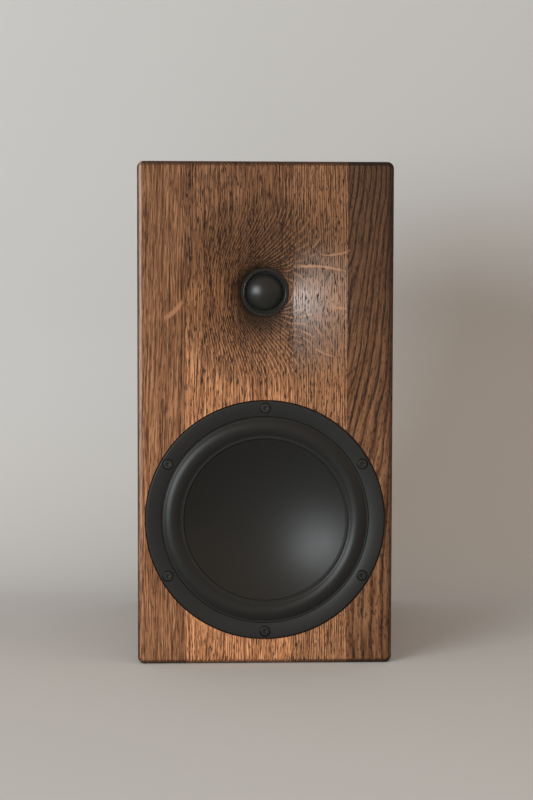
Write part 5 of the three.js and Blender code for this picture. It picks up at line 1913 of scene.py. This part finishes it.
        def wave(shift: float) -> list[Point]:
            """Draws one face of the corrugated part.

            Args:
                shift: how far it lies behind the front face.

            Returns:
                The profile, from the inside out.
            """
            line = []
            for t in (i / count for i in range(count + 1)):
                swing = self.spider_wave * math.sin(2 * math.pi * self.spider_waves * t)
                line.append((inner + (flat - inner) * t, level + shift + swing))
            return line

        profile = [
            *wave(0), (outer, seat - self.spider_skin), (outer, seat), (flat, seat),
            *wave(self.spider_skin)[::-1],
        ]
        self.shapes["spider"] = Shape().turn(profile, self.centre, self.hidden_sides)

    def dress(self) -> list[Piece]:
        """Dresses the woofer's pieces.

        Returns:
            The pieces.
        """
        roll = Bend("woofer_moving", self.centre, self.cone + self.inner_land, self.seat - self.outer_land)
        web = Bend("woofer_moving", self.centre, self.coil + 1, self.plate)
        pieces = [
            finish_piece(self.shapes["basket"], "cast_basket", CAST_BLACK, ["woofer_basket"]),
            finish_piece(self.shapes["roll"], "rubber_roll", ROLL_RUBBER, ["woofer_surround"], roll),
            finish_piece(self.shapes["cone"], "dished_cone", CONE_BLACK, ["woofer_cone"], "woofer_moving"),
            finish_piece(self.shapes["spider"], "spider_disc", SPIDER_CLOTH, ["woofer_spider"], web),
        ]
        for i in range(self.screws):
            screw = self.shapes["screw"].copy().move(about(self.centre, 360 * i / self.screws))
            node = f"woofer_screw_{i + 1}"
            pieces.append(finish_piece(screw, f"flange_screw_{i + 1}", SCREW_BLACK, [node]))
        return pieces


# ---- Tweeter ----


@dataclass
class Tweeter(Part):
    """The dome tweeter in the horn's throat."""

    nose: float = 17.9
    nose_front: float = 14.3
    gutter: float = 17.9
    bead: float = 0.38
    wall: float = 2.45
    flange: float = 36.0
    flange_front: float = 18.3
    flange_back: float = 21.3
    dome: float = 14.2
    dome_seat: float = 16.7
    dome_rise: float = 6.5
    skin: float = 0.5
    seam: float = 0.1
    roll_width: float = 1.4
    roll_rise: float = 0.15
    gap: float = 0.3
    screws: int = 3
    screw_circle: float = 31.0
    screw_hole: float = 1.8
    hole_spare: float = 1.0
    sides: int = 160
    dome_sides: int = 128

    @property
    def centre(self) -> Vector:
        """The middle of the tweeter, level with the baffle's front."""
        return Vector((0, low("front_baffle").y, middle("tweeter_dome").z))

    def build(self) -> None:
        """Builds the ring, the dome and the roll between them."""
        self.build_ring()
        outside = cap(self.dome, self.dome_seat, self.dome_rise, 40)
        inside = cap(self.dome - self.skin, self.dome_seat, self.dome_rise - self.skin, 24)
        self.shapes["dome"] = Shape().turn(outside + inside[::-1], self.centre, self.dome_sides)
        inner = self.dome + self.seam
        hub, radius, spread = ridge(inner, inner + self.roll_width, self.dome_seat, self.roll_rise)
        roll = arc(hub, radius, -spread - 90, spread - 90, 16)
        roll += arc(hub, radius - self.skin, spread - 90, -spread - 90, 12)
        self.shapes["roll"] = Shape().turn(roll, self.centre, self.dome_sides)

    def build_ring(self) -> None:
        """Builds the ring round the dome and drills its flange."""
        opening = self.nose - self.wall
        roll_outer = self.dome + self.seam + self.roll_width
        ledge, ledge_front = roll_outer - self.roll_width / 2, self.dome_seat + self.gap
        lip = arc((opening + self.bead, self.nose_front + self.bead), self.bead, -180, 0, 12)
        ring = Shape().turn([
            (self.nose, self.gutter), (self.nose, self.flange_front), (self.flange, self.flange_front),
            (self.flange, self.flange_back), (ledge, self.flange_back), (ledge, ledge_front),
            (roll_outer + self.gap, ledge_front), *lip, (opening + 2 * self.bead, self.gutter),
        ], self.centre, self.sides)
        place = self.centre + Vector((0, 0, self.screw_circle))
        hole = Shape().rod(place, self.screw_hole, self.flange_front - self.hole_spare,
                           self.flange_back + self.hole_spare, HOLE_SIDES)
        self.shapes["ring"] = ring.solid(round_about(hole, self.centre, self.screws))

    def dress(self) -> list[Piece]:
        """Dresses the tweeter's pieces.

        Returns:
            The pieces.
        """
        inner, moving = self.dome + self.seam, "tweeter_moving"
        bend = Bend(moving, self.centre, inner, inner + self.roll_width)
        return [
            finish_piece(self.shapes["ring"], "tweeter_ring", THROAT_BLACK, ["tweeter_housing"]),
            finish_piece(self.shapes["dome"], "cloth_dome", DOME_CLOTH, ["tweeter_dome"], moving, 60),
            finish_piece(self.shapes["roll"], "dome_roll", DOME_ROLL, ["tweeter_surround"], bend, 60),
        ]


# ---- Back: port, terminal cup and binding posts ----


@dataclass
class Port(Part):
    """The flared bass port, flush with the back."""

    bore: float = 25.0
    wall: float = 3.0
    flare: float = 14.0
    lip: float = 4.0
    lip_thickness: float = 3.0
    lip_round: float = 0.6
    sides: int = 144

    def build(self) -> None:
        """Builds the tube and its flare in one piece."""
        centre = Vector((0, high("bass_port").y, middle("bass_port").z))
        length = low("bass_port").y - centre.y
        mouth = self.bore + self.flare
        rim = mouth + self.lip
        flare = arc((mouth, -self.flare), self.flare, 180, 90, 20)
        edge = arc((rim - self.lip_round, -self.lip_round), self.lip_round, 90, 0, 5)
        end = arc((self.bore + self.wall / 2, length + self.wall / 2), self.wall / 2, 0, -180, 10)
        self.shapes["tube"] = Shape().turn([
            *flare, *edge, (rim, -self.lip_thickness),
            (self.bore + self.wall, -self.flare - self.wall), *end,
        ], centre, self.sides)

    def dress(self) -> list[Piece]:
        """Dresses the port."""
        return [finish_piece(self.shapes["tube"], "flared_port", MOULDED_BLACK, ["bass_port"])]


POSTS = ("red", "black")


@dataclass
class Terminals(Part):
    """The recessed terminal cup with its screws and a pair of binding posts."""

    cup_width: float = 84.0
    cup_height: float = 56.0
    cup_depth: float = 34.0
    wall: float = 2.5
    floor: float = 3.5
    corner: float = 7.0
    floor_round: float = 2.5
    flange: float = 11.0
    flange_thickness: float = 3.0
    flange_round: float = 0.9
    shell_set: float = 1.0
    hollow_spare: float = 3.0
    gap: float = 0.3
    screws: int = 4
    screw: SocketScrew = SocketScrew(head=3.2, head_height=2.0, head_round=0.4, shank=1.6, length=14.0,
                                     socket=1.35, socket_depth=1.4)
    shaft: float = 3.5
    shaft_hole: Point = (-60.0, -20.0)
    shaft_bore: float = 2.05
    bore_length: float = 10.0
    bore_chamfer: float = 0.4
    end_chamfer: Point = (0.4, 0.6)
    thread: float = 1.0
    thread_depth: float = 0.35
    crest: Point = (0.35, 0.5)
    thread_end: float = 0.85
    wire_hole: float = 1.8
    wire_hole_reach: float = 8.0
    collar: float = 8.0
    washer: float = 6.5
    knob: float = 7.5
    knob_chamfer: float = 1.0
    knob_recess: Point = (1.2, 0.8)
    flutes: int = 10
    flute: float = 1.0
    flute_out: float = 0.15
    flute_spare: float = 2.0
    edge: float = 0.4
    ring_sides: int = 64
    knob_sides: int = 120
    shaft_sides: int = 40

    @property
    def centre(self) -> Vector:
        """The middle of the cup, level with the back of the rear panel."""
        return Vector((0, high("rear_panel").y, middle("terminal_cup").z))

    def build(self) -> None:
        """Builds the cup, the first of its screws, and each post's pieces."""
        self.build_cup()
        screw = self.screw.build(Vector())
        place = Matrix.Translation(back_of("terminal_screw_1"))
        self.shapes["screw"] = screw.move(place @ Matrix.Rotation(math.pi, 4, "Z"))
        for colour in POSTS:
            self.build_post(colour)

    def build_cup(self) -> None:
        """Builds the cup and cuts its hollow and holes."""
        back = self.gap + self.flange_thickness
        outer = (self.cup_width + 2 * self.wall, self.cup_height + 2 * self.wall)
        cup = Shape().plate(self.centre, outer[0] + 2 * self.flange, outer[1] + 2 * self.flange,
                            self.gap, back, self.corner)
        cup.soften_rim(self.centre.y + back, self.flange_round)
        shell = Shape().plate(self.centre, *outer, -self.cup_depth - self.floor, back - self.shell_set,
                              self.corner + self.wall)
        hollow = Shape().plate(self.centre, self.cup_width, self.cup_height, -self.cup_depth,
                               back + self.hollow_spare, self.corner)
        hollow.soften_rim(self.centre.y - self.cup_depth, self.floor_round)
        holes = Shape()
        for colour in POSTS:
            place = Vector((middle(f"{colour}_post_shaft").x, self.centre.y, self.centre.z))
            holes.rod(place, self.shaft + self.gap, *self.shaft_hole, SCREW_SIDES)
        for i in range(self.screws):
            screw = middle(f"terminal_screw_{i + 1}")
            place = Vector((screw.x, self.centre.y, screw.z))
            holes.rod(place, self.screw.shank + self.gap, -SPARE, SPARE, HOLE_SIDES)
        self.shapes["cup"] = cup.solid(shell, Solid.JOIN).solid(hollow).solid(holes)

    def ring(self, node: str, inner: float, outer: float) -> Shape:
        """Builds a ring with softened edges.

        Args:
            node: the frame node that it stands for.
            inner: its inner radius.
            outer: its outer radius.

        Returns:
            The ring.
        """
        length, edge = high(node).y - low(node).y, self.edge
        return Shape().turn([
            (inner, 0), *arc((outer - edge, edge), edge, -90, 0, 4),
            *arc((outer - edge, length - edge), edge, 0, 90, 4), (inner, length),
        ], front_of(node), self.ring_sides)

    def build_post(self, colour: str) -> None:
        """Builds one binding post.

        Args:
            colour: the colour in the names of its frame nodes.
        """
        bore = self.shaft + self.gap
        self.shapes[f"{colour}_collar"] = self.ring(f"{colour}_post_collar", bore, self.collar)
        self.shapes[f"{colour}_washer"] = self.ring(f"{colour}_post_washer", bore, self.washer)
        self.shapes[f"{colour}_knob"] = self.build_knob(f"{colour}_post_knob")
        self.shapes[f"{colour}_shaft"] = self.build_shaft(colour)

    def build_knob(self, node: str) -> Shape:
        """Builds a fluted knob.

        Args:
            node: the frame node that it stands for.

        Returns:
            The knob.
        """
        centre, length = front_of(node), high(node).y - low(node).y
        bore, chamfer, edge = self.shaft + self.gap, self.knob_chamfer, self.edge
        wide, deep = self.knob_recess
        body = Shape().turn([
            (bore, 0), *arc((self.knob - edge, edge), edge, -90, 0, 4), (self.knob, length - chamfer),
            *arc((self.knob - chamfer, length - chamfer), chamfer, 0, 90, 6)[1:],
            (bore + wide, length), (bore + deep, length - deep), (bore, length - deep),
        ], centre, self.knob_sides)
        place = centre + Vector((0, 0, self.knob + self.flute_out))
        flute = Shape().rod(place, self.flute, -self.flute_spare, length + self.flute_spare, HOLE_SIDES)
        return body.solid(round_about(flute, centre, self.flutes))

    def build_shaft(self, colour: str) -> Shape:
        """Builds a threaded shaft with a bore for a plug and a hole for a wire.

        Args:
            colour: the colour in the names of its frame nodes.

        Returns:
            The shaft.
        """
        node = f"{colour}_post_shaft"
        front, length = front_of(node), high(node).y - low(node).y
        root, bore, chamfer = self.shaft - self.thread_depth, self.shaft_bore, self.bore_chamfer
        floor = length - self.bore_length
        threads = []
        for i in range(int(length / self.thread) - 1):
            start = self.thread * (i + 0.5)
            threads += [(root, start), *((self.shaft, start + c) for c in self.crest),
                        (root, start + self.thread_end)]
        shaft = Shape().turn([
            (0, 0), (root, 0), *threads, (root, length - self.end_chamfer[1]),
            (root - self.end_chamfer[0], length), (bore + chamfer, length), (bore, length - chamfer),
            (bore, floor), (0, floor - 1),
        ], front, self.shaft_sides)
        place = Vector((front.x, low(f"{colour}_post_washer").y + self.wire_hole, front.z))
        hole = Shape().rod(Vector(), self.wire_hole, -self.wire_hole_reach, self.wire_hole_reach, HOLE_SIDES)
        return shaft.solid(hole.move(Matrix.Translation(place) @ Matrix.Rotation(math.pi / 2, 4, "Z")))

    def dress(self) -> list[Piece]:
        """Dresses the cup, its screws and the posts.

        Returns:
            The pieces.
        """
        pieces = [finish_piece(self.shapes["cup"], "terminal_dish", MOULDED_BLACK, ["terminal_cup"])]
        first = middle("terminal_screw_1")
        for i in range(self.screws):
            node = f"terminal_screw_{i + 1}"
            screw = self.shapes["screw"].copy().move(Matrix.Translation(middle(node) - first))
            pieces.append(finish_piece(screw, f"dish_screw_{i + 1}", SCREW_BLACK, [node]))
        for colour, plastic in zip(POSTS, (KNOB_RED, KNOB_BLACK)):
            for part, finish, body in (
                ("shaft", GOLD, CABINET_BODY), ("collar", plastic, CABINET_BODY),
                ("washer", GOLD, f"{colour}_washer"), ("knob", plastic, f"{colour}_knob"),
            ):
                shape, node = self.shapes[f"{colour}_{part}"], f"{colour}_post_{part}"
                pieces.append(finish_piece(shape, f"{colour}_{part}_fine", finish, [node], body))
        return pieces


# ---- Inside ----


@dataclass
class Insides(Part):
    """What the closed cabinet hides. These keep their frame shapes and only get their finishes."""

    finishes: dict[str, Finish] = field(default_factory=lambda: {
        "window_brace": PLYWOOD, "crossover_board": PLYWOOD, "damping_felt": FELT,
        "woofer_gasket": FOAM, "voice_coil_former": ALUMINIUM, "voice_coil_winding": COIL_WIRE,
        "woofer_top_plate": STEEL, "woofer_magnet": FERRITE, "woofer_back_plate": STEEL,
        "woofer_tag_strip": MOULDED_BLACK, "tweeter_voice_coil": COIL_WIRE,
        "tweeter_front_plate": STEEL, "tweeter_magnet": FERRITE, "tweeter_yoke": STEEL,
        **{f"tweeter_screw_{i + 1}": SCREW_BLACK for i in range(3)},
        "red_post_nut": STEEL, "black_post_nut": STEEL, "woofer_choke": CHOKE_WIRE,
        "tweeter_choke": CHOKE_WIRE, "tweeter_capacitor": FILM, "tweeter_resistor": CEMENT,
        "input_lead": SLEEVE, "woofer_lead": SLEEVE, "tweeter_lead": SLEEVE,
    })

    def dress(self) -> list[Piece]:
        """Dresses the frame's own nodes.

        Returns:
            The nodes.
        """
        for name, finish in self.finishes.items():
            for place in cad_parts[name].material_slots:
                place.material = finish.material()
        return [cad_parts[name] for name in self.finishes]


# ---- Studio ----


@dataclass
class Studio:
    """A pale cove, a window-like key light, a soft fill and the camera."""

    aim: tuple[float, float, float] = (0.71, -139.3, 197.7)
    distance: float = 1400.0
    azimuth: float = 2.42
    elevation: float = 3.65
    roll: float = 0.131
    lens: float = 84.87
    sensor: float = 36.0
    clip: Point = (0.05, 30.0)
    key_azimuth: float = 40.0
    key_elevation: float = 10.0
    key_distance: float = 2600.0
    key_size: Point = (1400.0, 1150.0)
    key_power: float = 55.0
    fill: float = 0.72
    wall_y: float = 420.0
    wall_height: float = 3500.0
    floor_reach: float = 4000.0
    cove: float = 260.0
    cove_steps: int = 24
    pale: Colour = srgb(194, 196, 197)
    unevenness: float = 0.06
    daylight: Colour = (0.88, 0.96, 1.0, 1)
    room_light: Colour = (1.0, 0.82, 0.67, 1)

    def build(self) -> None:
        """Builds the stage, the lights and the camera."""
        self.build_camera()
        self.build_lights()
        self.build_cove()

    def build_camera(self) -> None:
        """Places the camera."""
        roll = math.radians(self.roll)
        back = facing(self.azimuth, self.elevation)
        right = Vector((0, 0, 1)).cross(back).normalized()
        up = back.cross(right)
        turned = right * math.cos(roll) + up * math.sin(roll)
        upright = up * math.cos(roll) - right * math.sin(roll)
        data = bpy.data.cameras.new("camera")
        data.lens, data.sensor_width = self.lens, self.sensor
        data.clip_start, data.clip_end = self.clip
        camera = bpy.data.objects.new("camera", data)
        bpy.context.scene.collection.objects.link(camera)
        camera.matrix_world = Matrix((turned, upright, back)).transposed().to_4x4()
        camera.location = (Vector(self.aim) + back * self.distance) * MM
        bpy.context.scene.camera = camera

    def build_lights(self) -> None:
        """Places the key light and sets the soft light all round."""
        away = facing(self.key_azimuth, self.key_elevation)
        data = bpy.data.lights.new("key", "AREA")
        data.shape = "RECTANGLE"
        data.size, data.size_y = (s * MM for s in self.key_size)
        data.energy = self.key_power
        data.color = self.daylight[:3]
        key = bpy.data.objects.new("key", data)
        bpy.context.scene.collection.objects.link(key)
        key.location = (Vector(self.aim) + away * self.key_distance) * MM
        key.rotation_euler = away.to_track_quat("Z", "Y").to_euler()
        world = bpy.data.worlds.new("soft_light")
        bpy.context.scene.world = world
        world.use_nodes = True
        background = world.node_tree.nodes["Background"]
        background.inputs["Color"].default_value = self.room_light
        background.inputs["Strength"].default_value = self.fill
        bpy.context.scene.view_settings.view_transform = "Standard"

    def build_cove(self) -> None:
        """Builds the floor that curves up into the wall behind."""
        cove = Shape()
        reach, count = self.floor_reach, self.cove_steps
        bend = [
            (self.wall_y - self.cove + self.cove * math.sin(a), self.cove - self.cove * math.cos(a))
            for a in (math.pi / 2 * i / count for i in range(count + 1))
        ]
        line = [(-reach, 0.0), *bend, (self.wall_y, self.wall_height)]
        verts = [cove.bm.verts.new((-reach, y, z)) for y, z in line]
        edges = [cove.bm.edges.new(pair) for pair in zip(verts, verts[1:])]
        made = bmesh.ops.extrude_edge_only(cove.bm, edges=edges)["geom"]
        moved = [v for v in made if isinstance(v, bmesh.types.BMVert)]
        bmesh.ops.translate(cove.bm, verts=moved, vec=(2 * reach, 0, 0))
        cove.bm.normal_update()
        upside_down = min(f.normal.z for f in cove.bm.faces) < -0.5
        if upside_down:
            bmesh.ops.reverse_faces(cove.bm, faces=cove.bm.faces)
        backdrop = cove.object("cove", closed=False)
        backdrop.data.shade_smooth()
        backdrop.data.materials.append(self.backdrop_paint())

    def backdrop_paint(self) -> bpy.types.Material:
        """Makes matt pale paint that shows from the front alone, so that the wall hides no back view.

        Returns:
            The paint.
        """
        paint = blank_material("cove_paint")
        nodes = Tree(paint.node_tree)
        slow = nodes.noise(nodes.place(), scale=0.002, detail=1)
        tone = nodes.affine(slow, self.unevenness, 1 - self.unevenness / 2)
        matt = nodes.add("ShaderNodeBsdfDiffuse", {"Color": nodes.shade(self.pale[:3], tone)})
        clear = nodes.add("ShaderNodeBsdfTransparent")
        behind = nodes.add("ShaderNodeNewGeometry").outputs["Backfacing"]
        shown = nodes.add("ShaderNodeMixShader", {0: behind, 1: matt.outputs[0], 2: clear.outputs[0]})
        nodes.add("ShaderNodeOutputMaterial", {0: shown.outputs[0]})
        return paint


def main() -> None:
    """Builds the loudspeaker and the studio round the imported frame."""
    logging.basicConfig(level=logging.INFO, format="%(message)s")
    Studio().build()
    make_groups()
    for part in (Cabinet(), Woofer(), Tweeter(), Port(), Terminals(), Insides()):
        part.build()
        for piece in part.dress():
            log.info("%s: %d faces", piece.name, len(piece.data.polygons))


if __name__ == "__main__":
    main()
